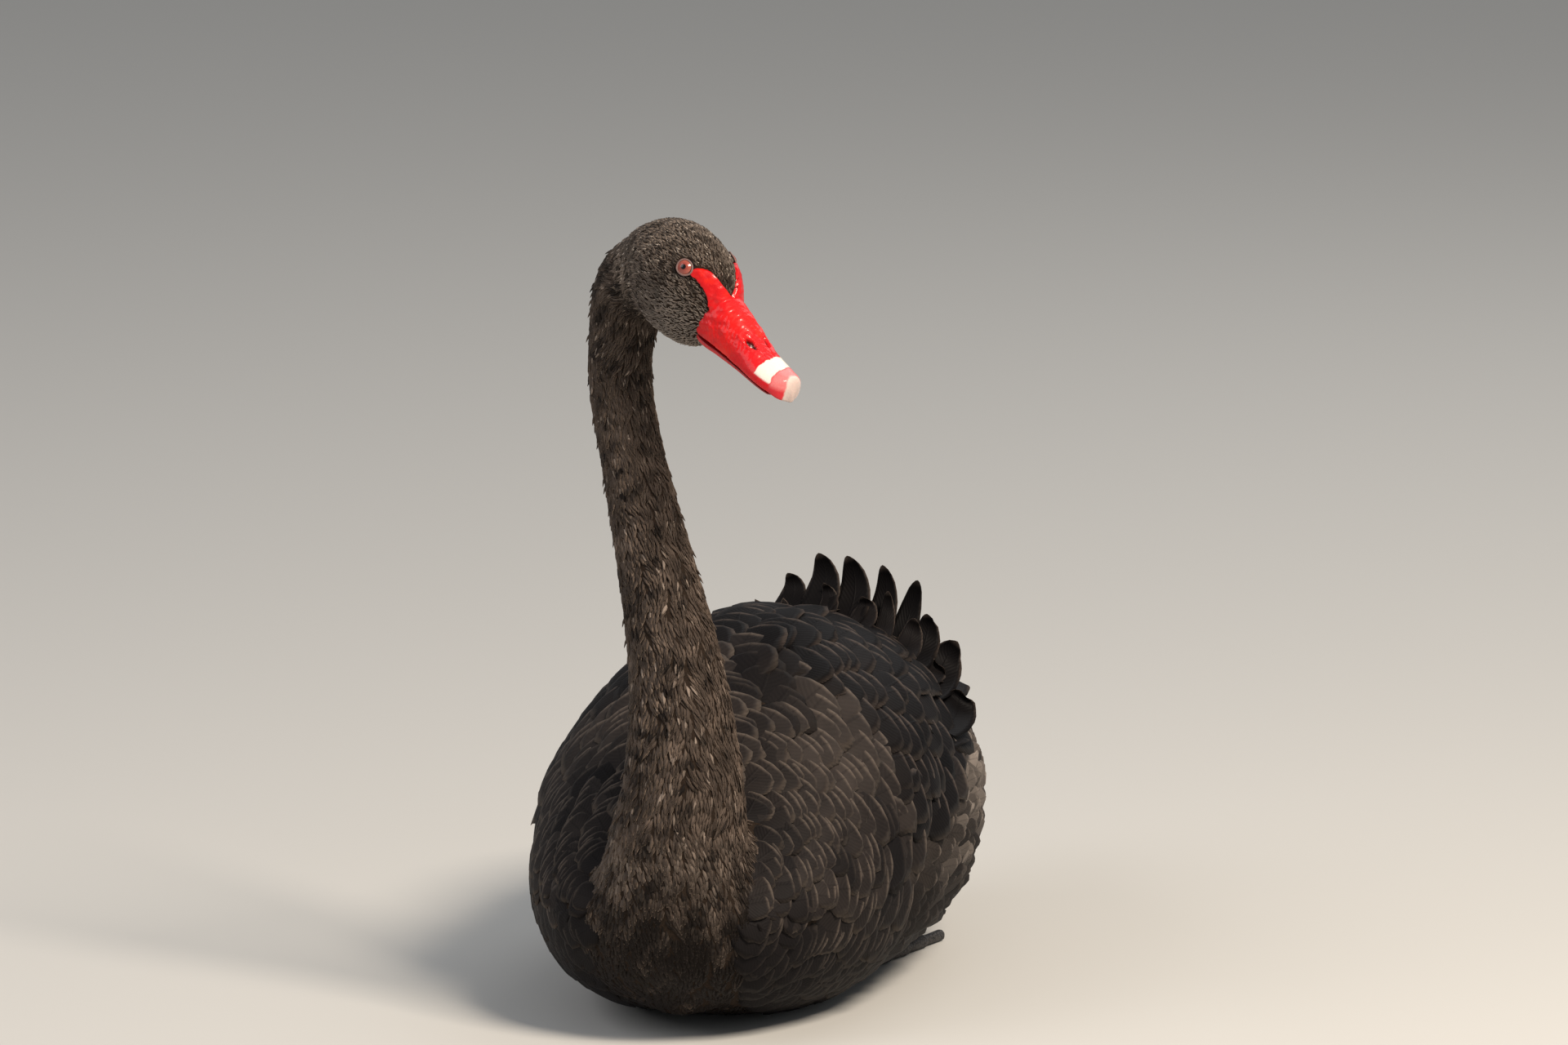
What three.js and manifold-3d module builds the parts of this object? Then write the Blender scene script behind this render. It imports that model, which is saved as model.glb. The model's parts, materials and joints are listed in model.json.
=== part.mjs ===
// A black swan at rest on its belly, life size, as a still display model.
// Millimetres, +Z up. The swan faces -Y and its left side is at +X.
// The head is turned to the swan's left and tilted down a little.
import * as THREE from 'three';
import { mergeVertices } from 'three/addons/utils/BufferGeometryUtils.js';
import Module from 'manifold-3d';

const wasm = await Module();
wasm.setup();

// Driving dimensions of the body
const degrees = THREE.MathUtils.degToRad;
const GAP = 0.3;
const BREAST_Y = -231;
const RUMP_Y = 264;
const TAIL_TIP_Y = 340;
const CHEST_FRONT_Y = BREAST_Y - 4;
const FLOOR_Z = 0;
const BODY_MID_Y = (BREAST_Y + RUMP_Y) / 2;
const BODY_HALF_LENGTH = (RUMP_Y - BREAST_Y) / 2;
const ORIGIN_Y = (CHEST_FRONT_Y + TAIL_TIP_Y) / 2;

// Driving dimensions of the head, in its own frame: forward, up and right from the bill tip
const BILL_TIP = new THREE.Vector3(83.7, -215.2, 407.2);
const HEAD_YAW = degrees(58);
const HEAD_PITCH = degrees(25);
const GAPE_F = -73;
const MOUTH_U = -4.5;
const SKULL_BACK_F = -162;
const EYE_CENTRE = { f: -95.5, u: 31 };
const EYE_PROUD = 2.2;
const EYE_RADIUS = 7.2;
const LID_RADIUS = 6;
const LID_THICKNESS = 1.3;
const NOSTRIL = { f: -42, u: 9.5, r: 12.5, length: 11, height: 3.4, depth: 3 };

// Random numbers from 0 to 1 that are the same each run
function seeded(seed) {
  let state = seed;
  return () => {
    state = (state * 1664525 + 1013904223) % 4294967296;
    return state / 4294967296;
  };
}

// Solids

function toSolid(geometry) {
  const bare = geometry.clone();
  bare.deleteAttribute('normal');
  bare.deleteAttribute('uv');
  const merged = mergeVertices(bare, 1e-4);
  const mesh = new wasm.Mesh({
    numProp: 3,
    vertProperties: new Float32Array(merged.attributes.position.array),
    triVerts: new Uint32Array(merged.index.array),
  });
  return new wasm.Manifold(mesh);
}

function toGeometry(solid) {
  const mesh = solid.getMesh();
  const geometry = new THREE.BufferGeometry();
  geometry.setAttribute('position', new THREE.BufferAttribute(new Float32Array(mesh.vertProperties), 3));
  geometry.setIndex(new THREE.BufferAttribute(new Uint32Array(mesh.triVerts), 1));
  return geometry;
}

function joined(solids) {
  return solids.reduce((whole, next) => whole.add(next));
}

function largest(solid) {
  return solid.decompose().reduce((best, next) => (next.volume() > best.volume() ? next : best));
}

// A geometry whose points are moved to where place() puts them
function shaped(geometry, place) {
  const position = geometry.attributes.position;
  const point = new THREE.Vector3();
  for (let i = 0; i < position.count; i += 1) {
    point.fromBufferAttribute(position, i);
    const moved = place(point);
    position.setXYZ(i, moved.x, moved.y, moved.z);
  }
  return geometry;
}

// A smooth curve through [where, value] pairs
function profile(pairs) {
  const slope = (i) => {
    const before = pairs[Math.max(i - 1, 0)];
    const after = pairs[Math.min(i + 1, pairs.length - 1)];
    return (after[1] - before[1]) / (after[0] - before[0]);
  };
  return (where) => {
    if (where <= pairs[0][0]) return pairs[0][1];
    if (where >= pairs[pairs.length - 1][0]) return pairs[pairs.length - 1][1];
    const i = pairs.findIndex((pair) => pair[0] > where) - 1;
    const width = pairs[i + 1][0] - pairs[i][0];
    const t = (where - pairs[i][0]) / width;
    const rise = pairs[i + 1][1] - pairs[i][1];
    const ease = t * t * (3 - 2 * t);
    const out = t * (1 - t) * (1 - t) * slope(i) * width;
    const back = t * t * (t - 1) * slope(i + 1) * width;
    return pairs[i][1] + rise * ease + out + back;
  };
}

// A sphere whose poles lie along the form, so that place() gets how far along and how far round
function poleForm(around, along, place) {
  const sphere = new THREE.SphereGeometry(1, around, along);
  return toSolid(shaped(sphere, (p) => {
    const q = THREE.MathUtils.clamp(p.y, -1, 1);
    const ring = Math.sqrt(Math.max(0, 1 - q * q));
    const a = ring < 1e-6 ? 0 : Math.atan2(p.x, p.z);
    return place(q, a);
  }));
}

// The body: an egg-shaped plan with a level keel, from the breast at q = -1 to the rump at q = 1

const bodyWidth = profile([[-1, 140], [-0.75, 134], [-0.1, 128], [0.75, 128], [1, 105]]);
const bodyHeight = profile([
  [-1, 50], [-0.7, 84], [-0.45, 110], [-0.2, 122], [0.1, 123], [0.5, 112], [1, 70],
]);
const bodyDepth = profile([
  [-1, 86], [-0.75, 94], [-0.4, 101], [0, 102], [0.4, 110], [0.7, 117], [0.88, 108], [1, 96],
]);
const bodyMiddle = profile([[-1, 76], [-0.6, 84], [0, 97], [0.4, 99], [0.75, 112], [1, 134]]);
const BELLY_SQUARENESS = 0.84;
const BREAST_FULLNESS = 0.7;
const BACK_SLOPE = 1.14;

// A point at q along the body and at angle a round it, from the back's midline, lifted off the surface
function bodyPoint(q, a, lift = 0) {
  const shrink = Math.sqrt(Math.max(0, 1 - q * q));
  const sine = Math.sin(a);
  const cosine = Math.cos(a);
  const upper = cosine >= 0;
  const power = upper ? BACK_SLOPE : BELLY_SQUARENESS;
  const across = Math.sign(sine) * Math.abs(sine) ** power;
  const high = Math.sign(cosine) * Math.abs(cosine) ** power;
  const reach = (upper ? bodyHeight(q) : bodyDepth(q)) + lift;
  const depthShrink = !upper && q < 0 ? shrink ** BREAST_FULLNESS : shrink;
  return new THREE.Vector3(
    (bodyWidth(q) + lift) * shrink * across,
    BODY_MID_Y + (BODY_HALF_LENGTH + lift) * q,
    bodyMiddle(q) + reach * depthShrink * high,
  );
}

const alongBody = (y) => THREE.MathUtils.clamp((y - BODY_MID_Y) / BODY_HALF_LENGTH, -1, 1);

function bodyForm(lift) {
  return poleForm(28, 16, (q, a) => bodyPoint(q, a, lift));
}

// The neck: a column that rises from the breast, leans to the swan's right and bends over into the head

const NECK = [
  { x: 3, y: -148, z: 38, d: 92 },
  { x: 2, y: -178, z: 80, d: 110 },
  { x: 3.5, y: -186, z: 116, d: 92 },
  { x: 6, y: -184, z: 155, d: 78 },
  { x: -1, y: -172, z: 220, d: 62.5 },
  { x: -18, y: -156, z: 283, d: 51.5 },
  { x: -37.5, y: -140, z: 349, d: 43 },
  { x: -47, y: -133, z: 392, d: 42.5 },
  { x: -46.5, y: -131, z: 424, d: 44.5 },
  { x: -37, y: -134, z: 453, d: 54 },
  { x: -17, y: -146, z: 472, d: 54 },
];
const neckCurve = new THREE.CatmullRomCurve3(NECK.map((s) => new THREE.Vector3(s.x, s.y, s.z)));
const neckWidth = profile(NECK.map((s, i) => [i / (NECK.length - 1), s.d]));
const NECK_SIDES = 20;

// A closed length of the neck between two places along it, thicker by grow
function neckLength(from, to, steps, grow = 0) {
  const tube = new THREE.CylinderGeometry(1, 1, 1, NECK_SIDES, steps);
  const side = new THREE.Vector3();
  const front = new THREE.Vector3();
  return toSolid(shaped(tube, (p) => {
    const t = from + (to - from) * (0.5 - p.y);
    const centre = neckCurve.getPoint(t);
    const along = neckCurve.getTangent(t);
    side.set(1, 0, 0).addScaledVector(along, -along.x).normalize();
    front.crossVectors(along, side);
    const radius = neckWidth(t) / 2 + grow;
    return centre.addScaledVector(side, p.x * radius).addScaledVector(front, p.z * radius);
  }));
}

// The head's own frame

const headForward = new THREE.Vector3(
  Math.sin(HEAD_YAW) * Math.cos(HEAD_PITCH),
  -Math.cos(HEAD_YAW) * Math.cos(HEAD_PITCH),
  -Math.sin(HEAD_PITCH),
);
const headUp = new THREE.Vector3(
  Math.sin(HEAD_YAW) * Math.sin(HEAD_PITCH),
  -Math.cos(HEAD_YAW) * Math.sin(HEAD_PITCH),
  Math.cos(HEAD_PITCH),
);
const headRight = new THREE.Vector3().crossVectors(headForward, headUp);

function headPoint(f, u, r) {
  return BILL_TIP.clone()
    .addScaledVector(headForward, f)
    .addScaledVector(headUp, u)
    .addScaledVector(headRight, r);
}

// The skull with its feathers: q = -1 at the nape and q = 1 at the base of the bill

const SKULL_FRONT_F = -66;
const skullTop = profile([[-1, 22], [-0.6, 26], [-0.1, 29.5], [0.4, 31.5], [0.75, 34], [1, 34]]);
const skullBottom = profile([[-1, 30], [-0.4, 42], [0.2, 43], [0.6, 43], [1, 40]]);
const skullWidth = profile([[-1, 26], [-0.3, 26.5], [0.2, 25.5], [0.7, 26], [1, 28]]);
const skullMiddle = profile([[-1, 10], [-0.5, 16], [0.2, 15], [0.7, 12], [1, 8]]);

function skullPlace(q, a, grow) {
  const shrink = Math.sqrt(Math.max(0, 1 - q * q));
  const sine = Math.sin(a);
  const cosine = Math.cos(a);
  const half = (SKULL_FRONT_F - SKULL_BACK_F) / 2 + grow;
  const reach = (cosine >= 0 ? skullTop(q) : skullBottom(q)) + grow;
  return {
    f: (SKULL_FRONT_F + SKULL_BACK_F) / 2 + half * q,
    u: skullMiddle(q) + reach * shrink * cosine,
    r: (skullWidth(q) + grow) * shrink * sine,
  };
}

function skullForm(grow) {
  return poleForm(22, 14, (q, a) => {
    const p = skullPlace(q, a, grow);
    return headPoint(p.f, p.u, p.r);
  });
}

// The bill: a wedge with a round nail, split along the mouth line

const billTop = profile([
  [-92, 27], [-67, 23], [-55, 19.5], [-41, 13], [-27, 8.5], [-15, 7], [-5, 7], [0, 4],
]);
const billWidth = profile([
  [-92, 19], [-77, 16.5], [-60, 14], [-40, 13.5], [-20, 14.2], [-9, 12.5], [-3, 8.5], [0, 4],
]);

// A length of bill between the mouth line and a top line, with rounded shoulders
function billForm(fromF, toF, top, bottom, halfWidth, grow) {
  const tube = new THREE.CylinderGeometry(1, 1, 1, 14, 8);
  return toSolid(shaped(tube, (p) => {
    const t = 0.5 + p.y;
    const f = fromF + (toF - fromF) * (1 - (1 - t) * (1 - t)) + (t - 0.5) * 2 * grow;
    const flat = Math.abs(p.z) ** 0.8 * Math.sign(p.z);
    const wide = Math.abs(p.x) ** 0.8 * Math.sign(p.x);
    const high = (top(f) + bottom(f)) / 2;
    const half = (top(f) - bottom(f)) / 2 + grow;
    return headPoint(f, high + half * flat, wide * (halfWidth(f) + grow));
  }));
}

function upperBill(grow) {
  return billForm(-92, 1, billTop, (f) => (f > -9 ? MOUTH_U - (f + 9) * 0.35 : MOUTH_U), billWidth, grow);
}

function lowerBill(grow) {
  const depth = profile([[-92, -13.5], [-70, -11.4], [-40, -9.6], [-15, -9], [-8, -7.4]]);
  const width = (f) => billWidth(f - 3) - 2.6;
  return billForm(-92, -8, () => MOUTH_U - GAP, depth, width, grow);
}

// The bare skin between the bill and each eye, as an outline seen from the side
function lorePrism(grow) {
  const outline = new THREE.Shape();
  outline.moveTo(EYE_CENTRE.f + LID_RADIUS - grow, EYE_CENTRE.u + 1.5);
  outline.quadraticCurveTo(-76, 36 + grow, -64, 23);
  outline.lineTo(-50, 22);
  outline.lineTo(-50, MOUTH_U - grow);
  outline.lineTo(GAPE_F - grow, MOUTH_U - grow);
  outline.quadraticCurveTo(GAPE_F - grow, 20, EYE_CENTRE.f + LID_RADIUS - grow, EYE_CENTRE.u - 1.5 - grow);
  const prism = new THREE.ExtrudeGeometry(outline, { depth: 70, bevelEnabled: false, curveSegments: 4 });
  return toSolid(shaped(prism, (p) => headPoint(p.x, p.y, p.z - 35)));
}

// Where the eye's middle shows on the skull, and the way it looks out
function eyeSeat(side) {
  const spot = (q, a) => {
    const p = skullPlace(q, a * side, 0);
    return headPoint(p.f, p.u, p.r);
  };
  const q = (EYE_CENTRE.f - (SKULL_FRONT_F + SKULL_BACK_F) / 2) / ((SKULL_FRONT_F - SKULL_BACK_F) / 2);
  const a = Math.acos((EYE_CENTRE.u - skullMiddle(q)) / (skullTop(q) * Math.sqrt(1 - q * q)));
  const point = spot(q, a);
  const along = spot(q + 0.01, a).sub(point);
  const round = spot(q, a + 0.01).sub(point);
  const out = new THREE.Vector3().crossVectors(along, round).normalize();
  if (out.dot(headRight) * side < 0) out.negate();
  return { point, out };
}

function eyeBall(side, grow) {
  const seat = eyeSeat(side);
  const centre = seat.point.clone().addScaledVector(seat.out, EYE_PROUD - EYE_RADIUS);
  const ball = new THREE.SphereGeometry(EYE_RADIUS + grow, 12, 8);
  return toSolid(ball.translate(centre.x, centre.y, centre.z));
}

function lidRing(side) {
  const seat = eyeSeat(side);
  const turn = new THREE.Quaternion().setFromUnitVectors(new THREE.Vector3(0, 0, 1), seat.out);
  const ring = new THREE.TorusGeometry(LID_RADIUS, LID_THICKNESS, 5, 16).applyQuaternion(turn);
  return toSolid(ring.translate(seat.point.x, seat.point.y, seat.point.z));
}

// One nostril: a slit that slants along the side of the upper bill
function nostril(side) {
  const slit = new THREE.SphereGeometry(1, 12, 8);
  return toSolid(shaped(slit, (p) => headPoint(
    NOSTRIL.f + p.y * NOSTRIL.length / 2,
    NOSTRIL.u + p.z * NOSTRIL.height / 2 + p.y * 1.2,
    side * NOSTRIL.r + p.x * NOSTRIL.depth,
  )));
}

// A thin closed plate: place(across, along, face) gives each point, with face 1 on top and 0 below
function plate(columns, rows, place) {
  const points = [];
  const faces = [];
  const wide = columns + 1;
  const layer = wide * (rows + 1);
  for (const face of [1, 0]) {
    for (let j = 0; j <= rows; j += 1) {
      for (let i = 0; i <= columns; i += 1) points.push(...place(i / columns, j / rows, face).toArray());
    }
  }
  for (let j = 0; j < rows; j += 1) {
    for (let i = 0; i < columns; i += 1) {
      const a = j * wide + i;
      const corners = [a, a + 1, a + wide + 1, a + wide];
      const [b, c, d, e] = corners.map((corner) => corner + layer);
      faces.push(corners[0], corners[1], corners[2], corners[0], corners[2], corners[3]);
      faces.push(b, d, c, b, e, d);
    }
  }
  const rim = [];
  for (let i = 0; i < columns; i += 1) rim.push(i);
  for (let j = 0; j < rows; j += 1) rim.push(j * wide + columns);
  for (let i = columns; i > 0; i -= 1) rim.push(rows * wide + i);
  for (let j = rows; j > 0; j -= 1) rim.push(j * wide);
  rim.forEach((a, i) => {
    const b = rim[(i + 1) % rim.length];
    faces.push(a, a + layer, b + layer, a, b + layer, b);
  });
  const geometry = new THREE.BufferGeometry();
  geometry.setAttribute('position', new THREE.Float32BufferAttribute(points, 3));
  geometry.setIndex(faces);
  const solid = toSolid(geometry);
  return solid.volume() < 0 ? toSolid(flipped(geometry)) : solid;
}

function flipped(geometry) {
  const index = Array.from(geometry.index.array);
  for (let i = 0; i < index.length; i += 3) [index[i], index[i + 1]] = [index[i + 1], index[i]];
  return geometry.setIndex(index);
}

// The outline and thickness of a feather's vane, from its root at v = 0 to its tip at v = 1
const VANE_COLUMNS = 2;
const VANE_ROWS = 3;
const HORN_ROWS = 4;
const vaneHalf = profile([[0, 0.6], [0.35, 0.92], [0.65, 1], [0.85, 0.8], [0.95, 0.45], [1, 0.16]]);
const vaneThickness = (u, v) => (1 - 0.55 * v) * (1 - 0.5 * u * u);
const towardTip = (v) => 1 - (1 - v) ** 1.5;

// A vane that lies on the body, rooted under its surface, with its tip lifted
function lyingVane({ side, y, a, length, width, turn = 0, rootLift, tipLift, roll = 1.4, thickness = 2.2 }) {
  return plate(VANE_COLUMNS, VANE_ROWS, (across, along, face) => {
    const u = across * 2 - 1;
    const v = towardTip(along);
    const q = alongBody(y + length * v * Math.cos(turn));
    const girth = bodyPoint(q, a + 0.02).distanceTo(bodyPoint(q, a)) / 0.02;
    const sideways = length * v * Math.sin(turn) + u * vaneHalf(v) * width / 2;
    const lift = rootLift + (tipLift - rootLift) * v + roll * u;
    const depth = (face - 0.5) * thickness * vaneThickness(u, v);
    const round = a + sideways / girth;
    return bodyPoint(q, side * round, lift + depth);
  });
}

// A vane along a curve of three or four points, with its flat side across
function freeVane({ points, across, width, tip = vaneHalf, cup = 0, thickness = 2, rows = VANE_ROWS }) {
  const curve = points.length === 3
    ? new THREE.QuadraticBezierCurve3(...points)
    : new THREE.CubicBezierCurve3(...points);
  return plate(VANE_COLUMNS, rows, (column, row, face) => {
    const u = column * 2 - 1;
    const v = towardTip(row);
    const along = curve.getTangent(v);
    const side = across.clone().addScaledVector(along, -along.dot(across)).normalize();
    const out = new THREE.Vector3().crossVectors(along, side).normalize();
    const half = tip(v) * width / 2;
    const depth = (face - 0.5) * thickness * vaneThickness(u, v) + cup * half * u * u;
    return curve.getPoint(v).addScaledVector(side, u * half).addScaledVector(out, depth);
  });
}

// The folded wing: a shell let into the back, from beside the midline down to its lower edge

const wingLow = profile([[-110, 1.3], [-60, 1.36], [-20, 1.28], [40, 1.06], [100, 0.98], [200, 0.9]]);
const WING_FRONT_TOP_Y = -66;
const WING_FRONT_LOW_Y = -100;
const WING_BACK_TOP_Y = 226;
const WING_BACK_LOW_Y = 160;
const WING_INNER_X = 4;

function wingShell(side, grow) {
  return plate(6, 9, (across, along, face) => {
    const front = THREE.MathUtils.lerp(WING_FRONT_TOP_Y, WING_FRONT_LOW_Y, Math.sin(across * Math.PI / 2));
    const back = THREE.MathUtils.lerp(WING_BACK_TOP_Y, WING_BACK_LOW_Y, across * across);
    const y = THREE.MathUtils.lerp(front, back, along) + (along * 2 - 1) * grow;
    const q = alongBody(y);
    const girth = bodyPoint(q, 0.02).distanceTo(bodyPoint(q, 0)) / 0.02;
    const inner = (WING_INNER_X - grow) / girth;
    const a = inner + (wingLow(y) + grow / girth - inner) * across;
    const bulge = Math.sqrt(Math.sin(Math.PI * across) * Math.sin(Math.PI * along) + 1e-6);
    const lift = face ? 1 + 1.4 * bulge + grow : -3 - 7 * bulge - grow;
    return bodyPoint(q, side * a, lift);
  });
}

// The wing's feathers: rows of vanes from the shoulder back, set out round the body in degrees

const WING_ROWS = [
  { y: -82, count: 4, from: 28, to: 68, length: 46, width: 34, turn: 15 },
  { y: -54, count: 5, from: 12, to: 70, length: 50, width: 36, turn: 13 },
  { y: -24, count: 5, from: 9, to: 67, length: 56, width: 39, turn: 10 },
  { y: 10, count: 5, from: 9, to: 61, length: 62, width: 36, turn: 6 },
  { y: 42, count: 5, from: 9, to: 55, length: 64, width: 33, turn: 1 },
];
const VANE_ROOT_LIFT = -1.6;
const VANE_TIP_LIFT = 4.6;

function coverts(side) {
  const random = seeded(side === 1 ? 11 : 29);
  return WING_ROWS.flatMap((row, r) => Array.from({ length: row.count }, (_, i) => {
    const step = (row.to - row.from) / (row.count - 1);
    const shift = (r % 2 ? 0.25 : -0.25) * step + (random() - 0.5) * 2.5;
    return lyingVane({
      side,
      y: row.y + (random() - 0.5) * 5 - i * 1.5,
      a: degrees(row.from + i * step + shift),
      length: row.length * (0.94 + 0.12 * random()),
      width: row.width,
      turn: degrees(row.turn),
      rootLift: VANE_ROOT_LIFT,
      tipLift: VANE_TIP_LIFT + 0.5 * random(),
    });
  }));
}

// The curled tertials: each lies along the back and then rises into a tip that stands like a horn.
// tip is how far across the tip stands and how high, and lean bends the horn sideways on its way up.
const PLUMES = {
  left: [
    { y: 88, a: 7, tip: [8.5, 126, 244], width: 20, lean: 5 },
    { y: 94, a: 17, tip: [25.5, 132, 242], width: 22, lean: 6 },
    { y: 98, a: 26, tip: [47, 138, 236], width: 19, lean: -3 },
    { y: 98, a: 34, tip: [69.5, 140, 227], width: 17, lean: -6 },
    { y: 90, a: 41, tip: [77, 134, 207], width: 20, lean: -4 },
    { y: 82, a: 50, tip: [98, 130, 191], width: 25, lean: -5 },
    { y: 56, a: 61, tip: [107, 104, 165], width: 22, lean: -2 },
  ],
  right: [
    { y: 86, a: 5, tip: [-10.5, 122, 231], width: 19, lean: 5 },
    { y: 74, a: 14, tip: [-33, 110, 208.5], width: 20, lean: 3 },
    { y: 92, a: 21, tip: [-42, 136, 207], width: 20, lean: 2 },
    { y: 94, a: 31, tip: [-61, 136, 199], width: 20, lean: 2 },
    { y: 88, a: 41, tip: [-78, 132, 187], width: 21, lean: 3 },
    { y: 78, a: 51, tip: [-93, 124, 176], width: 23, lean: 4 },
    { y: 54, a: 61, tip: [-106, 100, 155], width: 22, lean: 2 },
  ],
};
const PLUME_BACK_ROWS = [
  { y: 128, count: 4, from: 10, to: 49, reach: 48, rise: 15, width: 25 },
  { y: 158, count: 3, from: 12, to: 40, reach: 50, rise: 11, width: 25 },
];
const PLUME_CURL = 0.55;
const PLUME_SWEEP = 13;
const PLUME_HEEL = 8;
const hornHalf = profile([[0, 0.7], [0.4, 0.95], [0.6, 0.95], [0.8, 0.66], [0.93, 0.3], [1, 0.08]]);
const HORN_THICKNESS = 3;
const HORN_CUP = -0.16;

function plume(side, { y, a, tip, width, lean }) {
  const round = side * degrees(a);
  const root = bodyPoint(alongBody(y), round, -4);
  const heel = bodyPoint(alongBody(tip.y - PLUME_HEEL), round, 1);
  const rise = heel.clone().lerp(tip, PLUME_CURL).add(new THREE.Vector3(lean, PLUME_SWEEP, 0));
  const across = new THREE.Vector3(Math.cos(round * 0.6), 0, -Math.sin(round * 0.6));
  const horn = { tip: hornHalf, cup: HORN_CUP, thickness: HORN_THICKNESS, rows: HORN_ROWS };
  return freeVane({ points: [root, heel, rise, tip], across, width, ...horn });
}

function plumes(name, side) {
  const front = PLUMES[name].map((one) => plume(side, { ...one, tip: new THREE.Vector3(...one.tip) }));
  const back = PLUME_BACK_ROWS.flatMap((row) => Array.from({ length: row.count }, (_, i) => {
    const a = THREE.MathUtils.lerp(row.from, row.to, i / (row.count - 1));
    const tip = bodyPoint(alongBody(row.y + row.reach), side * degrees(a), row.rise);
    return plume(side, { y: row.y, a, tip, width: row.width, lean: 2 * side });
  }));
  return [...front, ...back];
}

// The primaries: long narrow vanes that reach back over the tail
const PRIMARIES = [
  { a: 14, x: 10, tipY: 300, tipZ: 178 },
  { a: 27, x: 24, tipY: 284, tipZ: 171 },
  { a: 40, x: 38, tipY: 262, tipZ: 162 },
];
const PRIMARY_ROOT_Y = 186;
const PRIMARY_WIDTH = 21;

function primaries(side) {
  return PRIMARIES.map((feather) => {
    const root = bodyPoint(alongBody(PRIMARY_ROOT_Y), side * degrees(feather.a), -3);
    const tip = new THREE.Vector3(side * feather.x, feather.tipY, feather.tipZ);
    const bend = root.clone().lerp(tip, 0.5).add(new THREE.Vector3(0, 0, 14));
    const across = new THREE.Vector3(Math.cos(degrees(feather.a)), 0, -side * Math.sin(degrees(feather.a)));
    return freeVane({ points: [root, bend, tip], across, width: PRIMARY_WIDTH });
  });
}

// The tail: a short fan of overlapping vanes behind the rump, in two tiers

const TAIL_ROOT_Y = 250;
const TAIL_ROOT_Z = 136;
const TAIL_RISE = 0.2;
const TAIL_TIERS = [
  { count: 7, spread: 27, length: TAIL_TIP_Y - TAIL_ROOT_Y, width: 23, z: 0 },
  { count: 5, spread: 19, length: 66, width: 22, z: 8 },
];

function tailCore() {
  return plate(5, 4, (across, along, face) => {
    const u = across * 2 - 1;
    const reach = 36 * along * (1 - 0.2 * u * u);
    const x = u * (25 + 8 * along);
    const thick = THREE.MathUtils.lerp(22, 10, along) * (1 - 0.5 * u * u);
    const z = TAIL_ROOT_Z + 1 + TAIL_RISE * reach + (face - 0.5) * thick - 0.003 * x * x;
    return new THREE.Vector3(x, TAIL_ROOT_Y + reach, z);
  });
}

function tailVanes() {
  return TAIL_TIERS.flatMap((tier) => Array.from({ length: tier.count }, (_, i) => {
    const place = (i / (tier.count - 1)) * 2 - 1;
    const angle = degrees(place * tier.spread);
    const length = tier.length * (1 - 0.12 * place * place);
    const low = Math.abs(place) * 4.2 + (place > 0 ? 0.9 : 0);
    const root = new THREE.Vector3(place * 17, TAIL_ROOT_Y + 8, TAIL_ROOT_Z + tier.z - low);
    const reach = new THREE.Vector3(Math.sin(angle), Math.cos(angle), TAIL_RISE).multiplyScalar(length - 8);
    const tip = root.clone().add(reach);
    const bend = root.clone().lerp(tip, 0.5).add(new THREE.Vector3(0, 0, -2));
    const across = new THREE.Vector3(Math.cos(angle), -Math.sin(angle), -place * 0.12);
    return freeVane({ points: [root, bend, tip], across, width: tier.width, thickness: 1.8 });
  }));
}

// A foot tucked under the belly: three toes that point back, with webs between them

const FOOT = { x: 66, heelY: 28, toeLength: 112, toeSpread: degrees(13), thick: 6, web: 3 };

function footForm(side, grow) {
  const pieces = [];
  const ends = [-1, 0, 1].map((toe) => {
    const angle = toe * FOOT.toeSpread;
    const length = FOOT.toeLength * (toe === 0 ? 1 : 0.93);
    return new THREE.Vector3(
      side * FOOT.x + Math.sin(angle) * length,
      FOOT.heelY + Math.cos(angle) * length,
      FLOOR_Z + 2.5,
    );
  });
  const heel = new THREE.Vector3(side * FOOT.x, FOOT.heelY, FLOOR_Z + 5);
  for (const end of ends) pieces.push(rod(heel, end, FOOT.thick + grow, FOOT.thick / 2 + grow));
  const web = new THREE.Shape();
  web.moveTo(heel.x, heel.y - grow);
  web.lineTo(ends[0].x - grow, ends[0].y * 0.97 + grow);
  web.lineTo((ends[0].x + ends[1].x) / 2, ends[0].y * 0.93 + grow);
  web.lineTo(ends[1].x, ends[1].y * 0.97 + grow);
  web.lineTo((ends[1].x + ends[2].x) / 2, ends[2].y * 0.93 + grow);
  web.lineTo(ends[2].x + grow, ends[2].y * 0.97 + grow);
  web.lineTo(heel.x, heel.y - grow);
  const sheet = new THREE.ExtrudeGeometry(web, { depth: FOOT.web + 2 * grow, bevelEnabled: false });
  pieces.push(toSolid(sheet.translate(0, 0, FLOOR_Z - grow)));
  const ankle = new THREE.Vector3(side * (FOOT.x - 10), FOOT.heelY - 34, FLOOR_Z + 22);
  pieces.push(rod(ankle, heel, FOOT.thick * 0.9 + grow, FOOT.thick + grow));
  return joined(pieces);
}

// A round bar between two points, with its own thickness at each end
function rod(from, to, fromRadius, toRadius) {
  const length = from.distanceTo(to);
  const bar = new THREE.CylinderGeometry(toRadius, fromRadius, length + 2, 7, 1);
  const turn = new THREE.Quaternion().setFromUnitVectors(
    new THREE.Vector3(0, 1, 0),
    to.clone().sub(from).normalize(),
  );
  const middle = from.clone().add(to).multiplyScalar(0.5);
  return toSolid(bar.applyQuaternion(turn).translate(middle.x, middle.y, middle.z));
}

const group = new THREE.Group();
group.position.set(0, -ORIGIN_Y, 0);

const COLOURS = { feather: '#211c1b', bill: '#d61a26', eye: '#b5594a', foot: '#2a2624' };

function addNode(name, solid, colour, roughness) {
  const material = new THREE.MeshStandardMaterial({ color: colour, roughness, metalness: 0 });
  const mesh = new THREE.Mesh(toGeometry(largest(solid)), material);
  mesh.name = name;
  group.add(mesh);
}

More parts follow.
